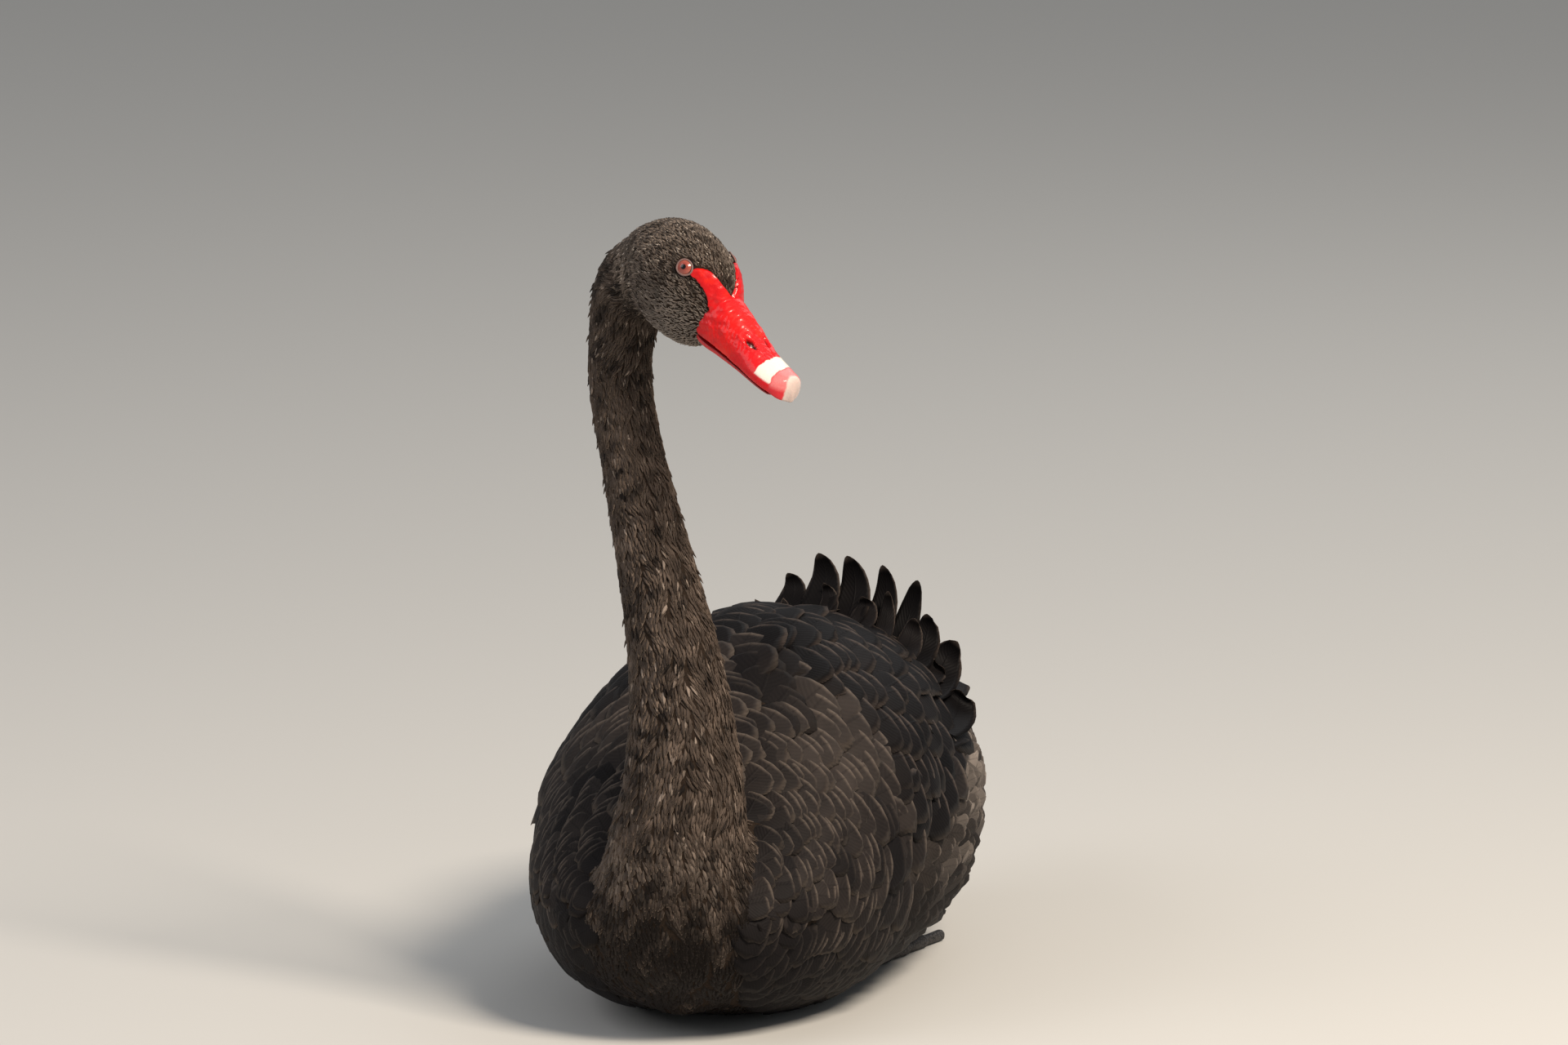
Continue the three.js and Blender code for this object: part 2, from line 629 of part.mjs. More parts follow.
const floorBlock = toSolid(new THREE.BoxGeometry(900, 900, 100).translate(0, 0, FLOOR_Z - 50));
const torsoRoom = bodyForm(GAP);
const skull = skullForm(0);
const skullCore = skullForm(-2.3);
const billRoom = skullForm(-2);

// The space on one side of the midline, where that side's wing stays
function sideBlock(side) {
  return toSolid(new THREE.BoxGeometry(400, 900, 900).translate(side * (200 + GAP / 2), 0, 300));
}

const SIDES = [{ name: 'right', side: -1 }, { name: 'left', side: 1 }];

const wingRooms = SIDES.map(({ side }) => wingShell(side, GAP));
let torso = bodyForm(0).subtract(floorBlock);
for (const room of wingRooms) torso = torso.subtract(room);
for (const { side } of SIDES) torso = torso.subtract(footForm(side, GAP));
addNode('torso', torso, COLOURS.feather, 0.75);
addNode('neck_lower', neckLength(0, 0.36, 10).subtract(torsoRoom), COLOURS.feather, 0.8);
addNode('neck_middle', neckLength(0.3605, 0.56, 6), COLOURS.feather, 0.8);
addNode('neck_upper', neckLength(0.5605, 0.8, 7), COLOURS.feather, 0.8);

const lores = lorePrism(0).intersect(skullForm(0.6));
let upper = upperBill(0).add(lores).subtract(billRoom);
for (const { side } of SIDES) upper = upper.subtract(eyeBall(side, GAP)).subtract(nostril(side));
const lower = lowerBill(0).subtract(billRoom).subtract(upperBill(GAP));
const billPocket = upperBill(GAP).add(lorePrism(GAP)).add(lowerBill(GAP)).subtract(skullCore);
let head = skull.add(neckLength(0.8005, 1, 5));
for (const { side } of SIDES) head = head.add(lidRing(side)).subtract(eyeBall(side, GAP));
head = head.subtract(billPocket);
addNode('head', head, COLOURS.feather, 0.8);
addNode('bill_upper', upper, COLOURS.bill, 0.35);
addNode('bill_lower', lower, COLOURS.bill, 0.35);
SIDES.forEach(({ name, side }) => {
  addNode(`eye_${name}`, eyeBall(side, 0), COLOURS.eye, 0.15);
  const vanes = joined([...coverts(side), ...plumes(name, side), ...primaries(side)]);
  const shell = wingShell(side, 0);
  const clear = vanes.subtract(torsoRoom.subtract(shell)).intersect(sideBlock(side));
  addNode(`wing_${name}`, shell.add(clear), COLOURS.feather, 0.7);
  addNode(`foot_${name}`, footForm(side, 0).subtract(floorBlock), COLOURS.foot, 0.6);
});
addNode('tail', joined([tailCore(), ...tailVanes()]).subtract(torsoRoom), COLOURS.feather, 0.7);

export default group;
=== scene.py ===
# %% [markdown]
# # A black swan at rest, dressed in feathers
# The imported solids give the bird's size and pose. This script covers them with a skin, tens of thousands
# of modelled feathers, a wet-looking red bill, layered eyes and scaly feet. Everything is in metres in
# the end, but the bird's own shapes are written in millimetres, because a feather is easier to picture
# that way.

# %% Load the frame
import json
import math
from functools import partial

import bmesh
import bpy
import numpy as np
from mathutils import Matrix, Vector
from mathutils.bvhtree import BVHTree
from mathutils.kdtree import KDTree

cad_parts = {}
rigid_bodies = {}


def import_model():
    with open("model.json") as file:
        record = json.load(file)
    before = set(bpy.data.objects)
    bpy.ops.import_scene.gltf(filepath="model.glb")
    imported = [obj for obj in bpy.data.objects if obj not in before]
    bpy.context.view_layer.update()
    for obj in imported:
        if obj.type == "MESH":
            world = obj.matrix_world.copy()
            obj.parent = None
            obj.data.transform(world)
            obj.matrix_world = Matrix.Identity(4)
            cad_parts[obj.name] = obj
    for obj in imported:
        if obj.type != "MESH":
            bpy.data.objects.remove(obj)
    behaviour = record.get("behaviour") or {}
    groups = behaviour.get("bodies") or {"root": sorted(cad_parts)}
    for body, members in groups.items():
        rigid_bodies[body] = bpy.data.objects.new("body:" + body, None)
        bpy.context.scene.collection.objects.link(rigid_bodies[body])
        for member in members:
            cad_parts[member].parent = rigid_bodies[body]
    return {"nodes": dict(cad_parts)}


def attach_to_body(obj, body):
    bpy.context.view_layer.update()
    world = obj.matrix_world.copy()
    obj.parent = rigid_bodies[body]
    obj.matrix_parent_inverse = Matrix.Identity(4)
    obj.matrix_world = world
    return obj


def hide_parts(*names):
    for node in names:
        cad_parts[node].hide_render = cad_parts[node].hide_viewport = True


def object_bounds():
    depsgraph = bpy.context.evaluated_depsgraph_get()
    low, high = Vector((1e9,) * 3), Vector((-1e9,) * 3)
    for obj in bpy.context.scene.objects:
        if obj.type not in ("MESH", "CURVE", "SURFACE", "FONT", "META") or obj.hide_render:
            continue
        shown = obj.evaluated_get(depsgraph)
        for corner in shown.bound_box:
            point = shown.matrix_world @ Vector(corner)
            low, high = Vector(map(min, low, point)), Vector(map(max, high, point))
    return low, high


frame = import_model()
cad_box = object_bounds()
print("CAD nodes:", sorted(frame["nodes"]))

# %% [markdown]
# ## Camera
# In the photograph the bird looks nearly flat, as through a very long lens from a little above it. A
# 300 mm lens almost eight metres away gives the same narrow perspective. The camera stands 15 degrees
# round from straight ahead and looks down 10.5 degrees.

# %% Camera
LENS_MM = 300
SENSOR_MM = 36
CAMERA_AZIMUTH = math.radians(15)
CAMERA_HEIGHT = math.radians(10.5)
CAMERA_DISTANCE = 7.88
CAMERA_TARGET = Vector((0.0674, -0.2293, 0.3204))


def heading(azimuth, height):
    """A direction from its angle round from straight ahead and its angle above level."""
    return (math.sin(azimuth) * math.cos(height), -math.cos(azimuth) * math.cos(height), math.sin(height))


def put(name, data):
    """A new object in the scene for a mesh, a lens or a light."""
    made = bpy.data.objects.new(name, data)
    bpy.context.scene.collection.objects.link(made)
    return made


def make_camera():
    """A long-lens camera that looks at the target, with its up side up."""
    away = Vector(heading(CAMERA_AZIMUTH, CAMERA_HEIGHT))
    right = Vector((math.cos(CAMERA_AZIMUTH), math.sin(CAMERA_AZIMUTH), 0))
    turn = Matrix((right, away.cross(right), away)).transposed().to_4x4()
    lens = bpy.data.cameras.new("camera")
    lens.lens = LENS_MM
    lens.sensor_width = SENSOR_MM
    lens.clip_end = 100
    camera = put("camera", lens)
    camera.matrix_world = Matrix.Translation(CAMERA_TARGET + away * CAMERA_DISTANCE) @ turn
    bpy.context.scene.camera = camera
    return camera


camera = make_camera()
print("camera at", tuple(round(v, 3) for v in camera.matrix_world.translation))

# %% [markdown]
# ## Colours and material nodes
# Screen colours are written as hex codes, and one function turns them into the linear light that Cycles
# works in. One small function adds any node with its settings and links, so each material reads as a
# short recipe.

# %% Colour and node helpers


def linear(code):
    """A hex sRGB colour as linear red, green, blue and alpha."""
    values = [int(code[i:i + 2], 16) / 255 for i in (1, 3, 5)]
    return tuple(v / 12.92 if v <= 0.04045 else ((v + 0.055) / 1.055) ** 2.4 for v in values) + (1.0,)


def fill(node, *values, **named):
    """Fills a node's inputs, in order or by name, with numbers, hex colours, nodes or their outputs."""
    in_order = zip([socket for socket in node.inputs if socket.enabled], values)
    by_name = [(node.inputs[name.replace("_", " ")], value) for name, value in named.items()]
    for socket, value in [*in_order, *by_name]:
        if isinstance(value, bpy.types.Node):
            value = next(output for output in value.outputs if output.enabled)
        if isinstance(value, bpy.types.NodeSocket):
            node.id_data.links.new(value, socket)
        else:
            socket.default_value = linear(value) if isinstance(value, str) else value


def add_node(tree, kind, *values, **named):
    """Adds a node of a kind, which is a type and its settings, and fills its inputs."""
    node = tree.nodes.new(kind[0])
    for key, value in kind[1].items():
        setattr(node, key, value)
    fill(node, *values, **named)
    return node


def new_material(name, **sockets):
    """A material with one Principled shader, and the function that adds nodes to its tree."""
    material = bpy.data.materials.new(name)
    material.use_nodes = True
    shader = material.node_tree.nodes["Principled BSDF"]
    fill(shader, **sockets)
    return material, partial(add_node, material.node_tree), shader


# %% [markdown]
# A few kinds of node come back in most finishes. BLEND mixes two colours by a factor, EASE takes a value
# smoothly from one range to another, and the others are sums, patterns and places to read.

# %% Kinds of node
ADD, SUBTRACT, MULTIPLY, MULTIPLY_ADD, POWER, MAXIMUM, ABSOLUTE, SINE = (
    ("ShaderNodeMath", {"operation": name})
    for name in ("ADD", "SUBTRACT", "MULTIPLY", "MULTIPLY_ADD", "POWER", "MAXIMUM", "ABSOLUTE", "SINE"))
BLEND = ("ShaderNodeMix", {"data_type": "RGBA"})
EASE = ("ShaderNodeMapRange", {"interpolation_type": "SMOOTHSTEP"})
NOISE = ("ShaderNodeTexNoise", {})
CELL_EDGES = ("ShaderNodeTexVoronoi", {"feature": "DISTANCE_TO_EDGE"})
BUMP = ("ShaderNodeBump", {})
PLACE = ("ShaderNodeTexCoord", {})
SPLIT = ("ShaderNodeSeparateXYZ", {})
COLOUR_RAMP = ("ShaderNodeValToRGB", {})
BLADE_MAP = ("ShaderNodeUVMap", {"uv_map": "blade_map"})
TONE, LIGHT, HEAD_PLACE, PIT, RING = (
    ("ShaderNodeAttribute", {"attribute_name": name})
    for name in ("tone", "light", "head_place", "pit", "ring"))


def grained(name, grain, dark, pale, relief, depth, **sockets):
    """A finish of two colours under a grain, which also raises it; grain(add, here) adds the pattern."""
    material, add, shader = new_material(name, **sockets)
    pattern = grain(add, add(PLACE).outputs["Object"])
    bump = add(BUMP, Strength=relief, Distance=depth, Height=pattern)
    fill(shader, Base_Color=add(BLEND, pattern, dark, pale), Normal=bump)
    return material


print("node helpers ready")

# %% [markdown]
# ## Studio
# A pale floor that is wide enough to fill the view, a large soft key light from the camera's right and
# above, a weak, nearly neutral fill from the left and a rim light from behind. Black feathers show mostly
# by what they reflect, so the lights are large and the world is pale.

# %% Floor, world and lights
FLOOR_RADIUS = 22.0
SWAN_MIDDLE = Vector((0, 0, 0.2))


def make_floor():
    """A disc of matt painted floor: rough, so it takes soft shadows and shows no reflection."""
    bm = bmesh.new()
    bmesh.ops.create_circle(bm, cap_ends=True, segments=96, radius=FLOOR_RADIUS)
    mesh = bpy.data.meshes.new("floor")
    bm.to_mesh(mesh)
    bm.free()
    material, add, shader = new_material("matt_painted_floor", Roughness=0.85)
    fill(shader, Base_Color=add(BLEND, add(NOISE, Scale=6.0, Detail=4.0), "#c9c8c4", "#d0cfcb"))
    mesh.materials.append(material)
    put("floor", mesh)


def stand(spot, way):
    """The matrix that sets a shape at a spot, with its Z axis along a way."""
    return Matrix.Translation(spot) @ Vector(way).to_track_quat("Z", "Y").to_matrix().to_4x4()


def make_light(name, azimuth, height, distance, size, power, colour):
    """A square soft box that looks at the swan's middle."""
    light = bpy.data.lights.new(name, "AREA")
    light.size = size
    light.energy = power
    light.color = linear(colour)[:3]
    away = Vector(heading(math.radians(azimuth), math.radians(height)))
    put(name, light).matrix_world = stand(SWAN_MIDDLE + away * distance, away)


def make_world():
    """A pale, even light from all round, which the black feathers reflect."""
    world = bpy.data.worlds.new("pale_studio")
    world.use_nodes = True
    background = world.node_tree.nodes["Background"]
    background.inputs["Color"].default_value = linear("#dfe3e8")
    background.inputs["Strength"].default_value = 0.36
    bpy.context.scene.world = world


make_floor()
make_world()
bpy.context.scene.view_settings.view_transform = "Standard"
make_light("key_light", 55, 46, 3.2, 1.0, 125, "#fff0de")
make_light("fill_light", -60, 35, 3.6, 2.4, 44, "#e2e0e2")
make_light("rim_light", 165, 40, 3.0, 1.6, 12, "#ffffff")
print("studio made")

# %% [markdown]
# ## The bird's shapes
# The skin follows the same forms as the solids: an egg-shaped body, a bent neck whose width changes along
# it, and a skull in a frame of its own that is turned and tilted. Each form is a function from how far
# along and how far round to a place, so that feathers can be set out on it. It works on whole arrays of
# numbers at once.

# %% Driving sizes, in millimetres
MM = 0.001
ORIGIN = np.array([0.0, 52.5, 0.0])
BREAST_Y = -231.0
RUMP_Y = 264.0
BODY_MID_Y = (BREAST_Y + RUMP_Y) / 2
BODY_HALF_LENGTH = (RUMP_Y - BREAST_Y) / 2
BODY_COAT = 3.6
NECK_COAT = 2.6
HEAD_COAT = 1.1


def world(points):
    """From the bird's own millimetres to the frame's metres."""
    return (np.asarray(points) - ORIGIN) * MM


def unit(vectors):
    """The vectors at length one."""
    return vectors / np.maximum(np.linalg.norm(vectors, axis=-1, keepdims=True), 1e-9)


def dots(first, second):
    """How far each first vector reaches along its second one."""
    return np.sum(first * second, axis=-1, keepdims=True)


def smooth(value, low, high):
    """0 below low, 1 above high and a smooth step between them."""
    t = np.clip((value - low) / (high - low), 0, 1)
    return t * t * (3 - 2 * t)


def profile(pairs):
    """A smooth curve through [where, value] pairs."""
    at, value = np.array(pairs, float).T
    order = np.arange(len(at))
    before = np.maximum(order - 1, 0)
    after = np.minimum(order + 1, len(at) - 1)
    slope = (value[after] - value[before]) / (at[after] - at[before])

    def curve(where):
        where = np.clip(where, at[0], at[-1])
        i = np.clip(np.searchsorted(at, where, side="right") - 1, 0, len(at) - 2)
        width = at[i + 1] - at[i]
        t = (where - at[i]) / width
        rise = (value[i + 1] - value[i]) * t * t * (3 - 2 * t)
        out = t * (1 - t) ** 2 * slope[i] * width
        back = t * t * (t - 1) * slope[i + 1] * width
        return value[i] + rise + out + back

    return curve


cad_corners = [np.round(np.array(corner) / MM + ORIGIN, 1).tolist() for corner in cad_box]
print("CAD box in the bird's millimetres:", cad_corners)

# %% The body
body_width = profile([[-1, 140], [-0.75, 134], [-0.1, 128], [0.75, 128], [1, 105]])
body_height = profile([[-1, 50], [-0.7, 84], [-0.45, 110], [-0.2, 122], [0.1, 123], [0.5, 112], [1, 70]])
body_depth = profile([
    [-1, 86], [-0.75, 94], [-0.4, 101], [0, 102], [0.4, 110], [0.7, 117], [0.88, 108], [1, 96],
])
body_middle = profile([[-1, 76], [-0.6, 84], [0, 97], [0.4, 99], [0.75, 112], [1, 134]])
BELLY_SQUARENESS = 0.84
BREAST_FULLNESS = 0.7
BACK_SLOPE = 1.14
wing_low = profile([[-110, 1.3], [-60, 1.36], [-20, 1.26], [30, 1.0], [100, 0.88], [200, 0.84]])
WING_PAD = 4.0


def body_point(q, a, lift=0.0):
    """A place at q along the body, from -1 at the breast to 1 at the rump, and at angle a from the back."""
    shrink = np.sqrt(np.clip(1 - q * q, 0, 1))
    sine = np.sin(a)
    cosine = np.cos(a)
    upper = cosine >= 0
    power = np.where(upper, BACK_SLOPE, BELLY_SQUARENESS)
    across = np.sign(sine) * np.abs(sine) ** power
    high = np.sign(cosine) * np.abs(cosine) ** power
    depth = np.where(upper, body_height(q), body_depth(q)) + lift
    fall = np.where(~upper & (q < 0), shrink ** BREAST_FULLNESS, shrink)
    x = (body_width(q) + lift) * shrink * across
    y = BODY_MID_Y + (BODY_HALF_LENGTH + lift) * q
    z = body_middle(q) + depth * fall * high
    return np.stack(np.broadcast_arrays(x, y, z), axis=-1)


def along_body(y):
    """The share along the body, from -1 to 1, of a place y."""
    return np.clip((y - BODY_MID_Y) / BODY_HALF_LENGTH, -1, 1)


def wing_share(y, a):
    """1 where the folded wing lies on the body and 0 elsewhere."""
    low = smooth(wing_low(y) - np.abs(a), -0.02, 0.12)
    share = np.clip(np.abs(a) / wing_low(y), 0, 1)
    front = smooth(y, -72 - 34 * share, -30 - 34 * share)
    back = 1 - smooth(y, 190 - 66 * share, 226 - 66 * share)
    return low * front * back * (0.35 + 0.65 * smooth(np.abs(a), 0.0, 0.16))


def body_skin(p, a):
    """The body's skin at polar angle p, from 0 at the breast to pi at the rump."""
    q = -np.cos(p)
    lift = WING_PAD * wing_share(BODY_MID_Y + BODY_HALF_LENGTH * q, a) - BODY_COAT
    return body_point(q, a, lift)


print("body:", 2 * BODY_HALF_LENGTH, "mm long")

# %% The neck
# Each row is a place on the neck's middle line, from the breast up, and the neck's width there.
NECK = np.array([
    [3, -148, 38, 92], [2, -178, 80, 110], [3.5, -186, 116, 92], [6, -184, 155, 78], [-1, -172, 220, 62.5],
    [-18, -156, 283, 51.5], [-37.5, -140, 349, 43], [-47, -133, 392, 42.5], [-46.5, -131, 424, 44.5],
    [-37, -134, 453, 54], [-17, -146, 472, 54],
], float)
neck_width = profile([[i / (len(NECK) - 1), row[3]] for i, row in enumerate(NECK)])


def spline_pieces(points):
    """The centripetal curve through the points, as four terms for each stretch."""
    ends = np.vstack([2 * points[0] - points[1], points, 2 * points[-1] - points[-2]])
    before, start, stop, after = ends[:-3], ends[1:-2], ends[2:-1], ends[3:]
    step = np.sqrt(np.linalg.norm(np.diff(ends, axis=0), axis=1))[:, None]
    first, middle, last = step[:-2], step[1:-1], step[2:]
    leave = (start - before) / first - (stop - before) / (first + middle) + (stop - start) / middle
    enter = (stop - start) / middle - (after - start) / (middle + last) + (after - stop) / last
    leave = leave * middle
    enter = enter * middle
    return start, leave, -3 * start + 3 * stop - 2 * leave - enter, 2 * start - 2 * stop + leave + enter


NECK_PIECES = spline_pieces(NECK[:, :3])


def neck_line(t):
    """The neck's middle line and its direction at t, from 0 in the breast to 1 in the head."""
    place = np.clip(t, 0, 1) * (len(NECK) - 1)
    i = np.clip(place.astype(int), 0, len(NECK) - 2)
    w = (place - i)[..., None]
    a, b, c, d = (terms[i] for terms in NECK_PIECES)
    return a + w * (b + w * (c + w * d)), unit(b + w * (2 * c + 3 * w * d))


def neck_point(t, around, lift=0.0):
    """A place on the neck, with around at 0 in front and growing to the swan's left."""
    centre, along = neck_line(t)
    side = unit(np.array([1.0, 0, 0]) - along * along[..., :1])
    front = -np.cross(along, side)
    radius = (neck_width(t) / 2 + lift)[..., None]
    return centre + radius * (side * np.sin(around)[..., None] + front * np.cos(around)[..., None])


NECK_TOP_T = 0.97


def neck_skin(p, a):
    """The neck's skin from p = 0 under the head to p = 1 in the breast."""
    return neck_point(NECK_TOP_T * (1 - p), a, -NECK_COAT)


print("neck: thinnest", float(NECK[:, 3].min()), "mm across, its line through", len(NECK), "places")

# %% The head
BILL_TIP = np.array([83.7, -215.2, 407.2])
HEAD_YAW = math.radians(58)
HEAD_PITCH = math.radians(25)
FORWARD = np.array(heading(HEAD_YAW, -HEAD_PITCH))
UP = np.array([
    math.sin(HEAD_YAW) * math.sin(HEAD_PITCH),
    -math.cos(HEAD_YAW) * math.sin(HEAD_PITCH),
    math.cos(HEAD_PITCH),
])
RIGHT = np.cross(FORWARD, UP)
SKULL_FRONT_F = -66.0
SKULL_BACK_F = -162.0
EYE_F = -97.3
EYE_U = 31.0
GAPE_F = -73.0
MOUTH_U = -4.5
skull_top = profile([[-1, 22], [-0.6, 26], [-0.1, 29.5], [0.4, 31.5], [0.75, 34], [1, 34]])
skull_bottom = profile([[-1, 30], [-0.4, 42], [0.2, 43], [0.6, 43], [1, 40]])
skull_width = profile([[-1, 26], [-0.3, 26.5], [0.2, 25.5], [0.7, 26], [1, 28]])
skull_middle = profile([[-1, 10], [-0.5, 16], [0.2, 15], [0.7, 12], [1, 8]])


def head_point(f, u, r):
    """A place in the head's own frame: forward, up and to the swan's right from the bill's tip."""
    return BILL_TIP + f[..., None] * FORWARD + u[..., None] * UP + r[..., None] * RIGHT


def head_place(points):
    """The reverse of head_point, as an array of forward, up and right."""
    return (points - BILL_TIP) @ np.stack([FORWARD, UP, RIGHT], axis=1)


def skull_point(q, a, lift=0.0):
    """A place on the head at q, from -1 at the nape to 1 at the bill, and at angle a from the crown."""
    shrink = np.sqrt(np.clip(1 - q * q, 0, 1))
    cosine = np.cos(a)
    half = (SKULL_FRONT_F - SKULL_BACK_F) / 2 + lift
    height = np.where(cosine >= 0, skull_top(q), skull_bottom(q)) + lift
    f = (SKULL_FRONT_F + SKULL_BACK_F) / 2 + half * q
    u = skull_middle(q) + height * shrink * cosine
    r = (skull_width(q) + lift) * shrink * np.sin(a)
    return head_point(*np.broadcast_arrays(f, u, r))


def head_skin(p, a):
    """The head's skin from p = 0 at the bill to pi at the nape."""
    return skull_point(np.cos(p), a, -HEAD_COAT)


print("head: turned", round(math.degrees(HEAD_YAW)), "degrees, bill down", round(math.degrees(HEAD_PITCH)))

# %% The stump of the tail
TAIL_ROOT = np.array([0.0, 262.0, 137.0])
TAIL_STUMP = np.array([31.0, 34.0, 13.0])
STUMP_RISE = 4.0


def stump_skin(p, a):
    """A flat egg at the rump that the tail feathers grow from, from p = 0 in the body to pi behind."""
    ring = np.sin(p)
    direction = np.stack(np.broadcast_arrays(ring * np.sin(a), -np.cos(p), ring * np.cos(a)), axis=-1)
    return TAIL_ROOT + direction * TAIL_STUMP + direction[..., 1:2] * np.array([0, 0, STUMP_RISE])


print("stump of the tail:", (2 * TAIL_STUMP).tolist(), "mm")

# %% [markdown]
# ## Skin
# Each form starts as a sphere whose points are moved to the form. The spheres overlap, and a voxel remesh
# makes one closed skin of them, which a few rounds of smoothing soften where neck, head and body meet.
# The skin lies a coat's depth inside the solids, so that the feathers' tips come out where the solids
# end.

# %% Build the skin
SKIN_VOXEL_MM = 3.0
FLOOR_CLEARANCE_MM = 0.4
FEATHER_CLEARANCE_MM = 0.1


def shaped_sphere(around, along, place):
    """A sphere whose points move to place(polar angle, angle round), as a bmesh in metres."""
    bm = bmesh.new()
    bmesh.ops.create_uvsphere(bm, u_segments=around, v_segments=along, radius=1)
    points = np.array([v.co for v in bm.verts])
    polar = np.arccos(np.clip(points[:, 2], -1, 1))
    angle = np.arctan2(points[:, 0], points[:, 1])
    for vert, spot in zip(bm.verts, world(place(polar, angle))):
        vert.co = spot
    bmesh.ops.recalc_face_normals(bm, faces=bm.faces)
    return bm


def to_object(name, forms):
    """One object from several bmeshes, which are freed."""
    whole = bmesh.new()
    for bm in forms:
        part = bpy.data.meshes.new("part")
        bm.to_mesh(part)
        bm.free()
        whole.from_mesh(part)
        bpy.data.meshes.remove(part)
    mesh = bpy.data.meshes.new(name)
    whole.to_mesh(mesh)
    whole.free()
    return put(name, mesh)


def settle(made):
    """Applies an object's modifiers."""
    result = bpy.data.meshes.new_from_object(made.evaluated_get(bpy.context.evaluated_depsgraph_get()))
    old = made.data
    made.modifiers.clear()
    made.data = result
    result.name = made.name
    bpy.data.meshes.remove(old)
    result.shade_smooth()
    return made


def remesh(made, voxel_mm, rounds):
    """Melts an object's forms into one closed surface and smooths it."""
    melt = made.modifiers.new("melt", "REMESH")
    melt.mode = "VOXEL"
    melt.voxel_size = voxel_mm * MM
    soften = made.modifiers.new("soften", "SMOOTH")
    soften.iterations = rounds
    soften.factor = 0.5
    return settle(made)


def read_vectors(collection, field):
    """The vectors of a mesh's points or normals, as an array."""
    values = np.empty(len(collection) * 3)
    collection.foreach_get(field, values)
    return values.reshape(-1, 3)


def get_points(made):
    return read_vectors(made.data.vertices, "co")


def set_points(made, points, floor_mm):
    """Moves an object's points, and keeps them above a height over the floor."""
    points[:, 2] = np.maximum(points[:, 2], floor_mm * MM)
    made.data.vertices.foreach_set("co", np.ascontiguousarray(points, dtype=np.float32).ravel())
    made.data.update()


def store(mesh, title, values):
    """Keeps a number or a vector on each point of a mesh, for its finish."""
    kind, field = ("FLOAT", "value") if values.ndim == 1 else ("FLOAT_VECTOR", "vector")
    layer = mesh.attributes.new(title, kind, "POINT")
    layer.data.foreach_set(field, values.astype(np.float32).ravel())


def attach(made, slot, *replaced):
    """Puts a piece on the still bird's one body, in place of the solids that it covers; the slot is not
    used.
    """
    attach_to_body(made, "root")
    if replaced:
        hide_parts(*replaced)
    print(made.name + ":", len(made.data.polygons), "faces")


# %% Melt the forms into one skin


def make_skin():
    """The skin of body, neck, head and stump, as one closed mesh that stands on the floor."""
    forms = [
        shaped_sphere(96, 80, body_skin),
        shaped_sphere(48, 120, lambda p, a: neck_skin(p / math.pi, a)),
        shaped_sphere(64, 48, head_skin),
        shaped_sphere(32, 24, stump_skin),
    ]
    skin = remesh(to_object("skin", forms), SKIN_VOXEL_MM, 5)
    set_points(skin, get_points(skin), FLOOR_CLEARANCE_MM)
    return skin


skin = make_skin()
skin_tree = BVHTree.FromObject(skin, bpy.context.evaluated_depsgraph_get())
skin_normals = read_vectors(skin.data.vertex_normals, "vector")
skin_faces = np.array([p.vertices[:3] for p in skin.data.polygons])
print("skin:", len(skin.data.polygons), "faces")


def snap(points):
    """For each point the nearest place on the skin, in the bird's millimetres, and the way out of it."""
    found = [skin_tree.find_nearest(spot) for spot in world(points).tolist()]
    place = np.array([f[0] for f in found]) / MM + ORIGIN
    faces = np.array([f[2] for f in found])
    return place, unit(skin_normals[skin_faces[faces]].mean(axis=1))


# %% [markdown]
# ## How a feather is made
# Every feather is a copy of a small closed blade: a sphere with a few faces, whose poles become the root
# and the tip. Its midline is walked over the skin from the root, so it bends with the bird, and lifts off
# towards the tip to lie over the feathers behind it. Numpy places all feathers of a tract at once, and
# they are joined into one mesh, because the export drops instances and hair.

# %% The blade and its midline


def blade(around, along):
    """A closed blade of few faces: each point's row, its place across and its height, and the triangles."""
    bm = bmesh.new()
    bmesh.ops.create_uvsphere(bm, u_segments=around, v_segments=along, radius=1)
    bmesh.ops.triangulate(bm, faces=bm.faces)
    bm.verts.ensure_lookup_table()
    points = np.array([v.co for v in bm.verts])
    faces = np.array([[v.index for v in f.verts] for f in bm.faces])
    bm.free()
    row = np.round(np.arccos(np.clip(points[:, 2], -1, 1)) / math.pi * along).astype(int)
    angle = np.arctan2(points[:, 1], points[:, 0]) + (math.pi / 2 if around % 2 else 0)
    pole = (row == 0) | (row == along)
    across = np.where(pole, 0, np.cos(angle))
    across = across / np.abs(across).max()
    height = np.where(pole, 0, np.sin(angle))
    height = np.where(np.abs(across) > 0.99, 0, height)
    share = (1 - np.cos(np.arange(along + 1) / along * math.pi)) / 2
    return {"row": row, "across": across, "height": height, "faces": faces, "share": share}


TUFT = blade(3, 4)
BROAD_FEATHER = blade(8, 8)
LONG_FEATHER = blade(8, 14)
print("triangles to a feather:", [len(shape["faces"]) for shape in (TUFT, BROAD_FEATHER, LONG_FEATHER)])

# %% Walk a midline over the skin


def tangent(ways, normals):
    """The ways laid flat on the surface."""
    return unit(ways - dots(ways, normals) * normals)


def walk(roots, ways, lengths, share, rise):
    """Each feather's midline over the skin, its way out at each row, and rise(share) above the skin."""
    place, normal = snap(roots)
    way = tangent(ways, normal)
    line = [place + normal * rise(share[0])[:, None]]
    out = [normal]
    for before, after in zip(share[:-1], share[1:]):
        place, normal = snap(place + way * (lengths * (after - before))[:, None])
        way = tangent(way, normal)
        line.append(place + normal * rise(after)[:, None])
        out.append(normal)
    return np.stack(line, axis=1), np.stack(out, axis=1)


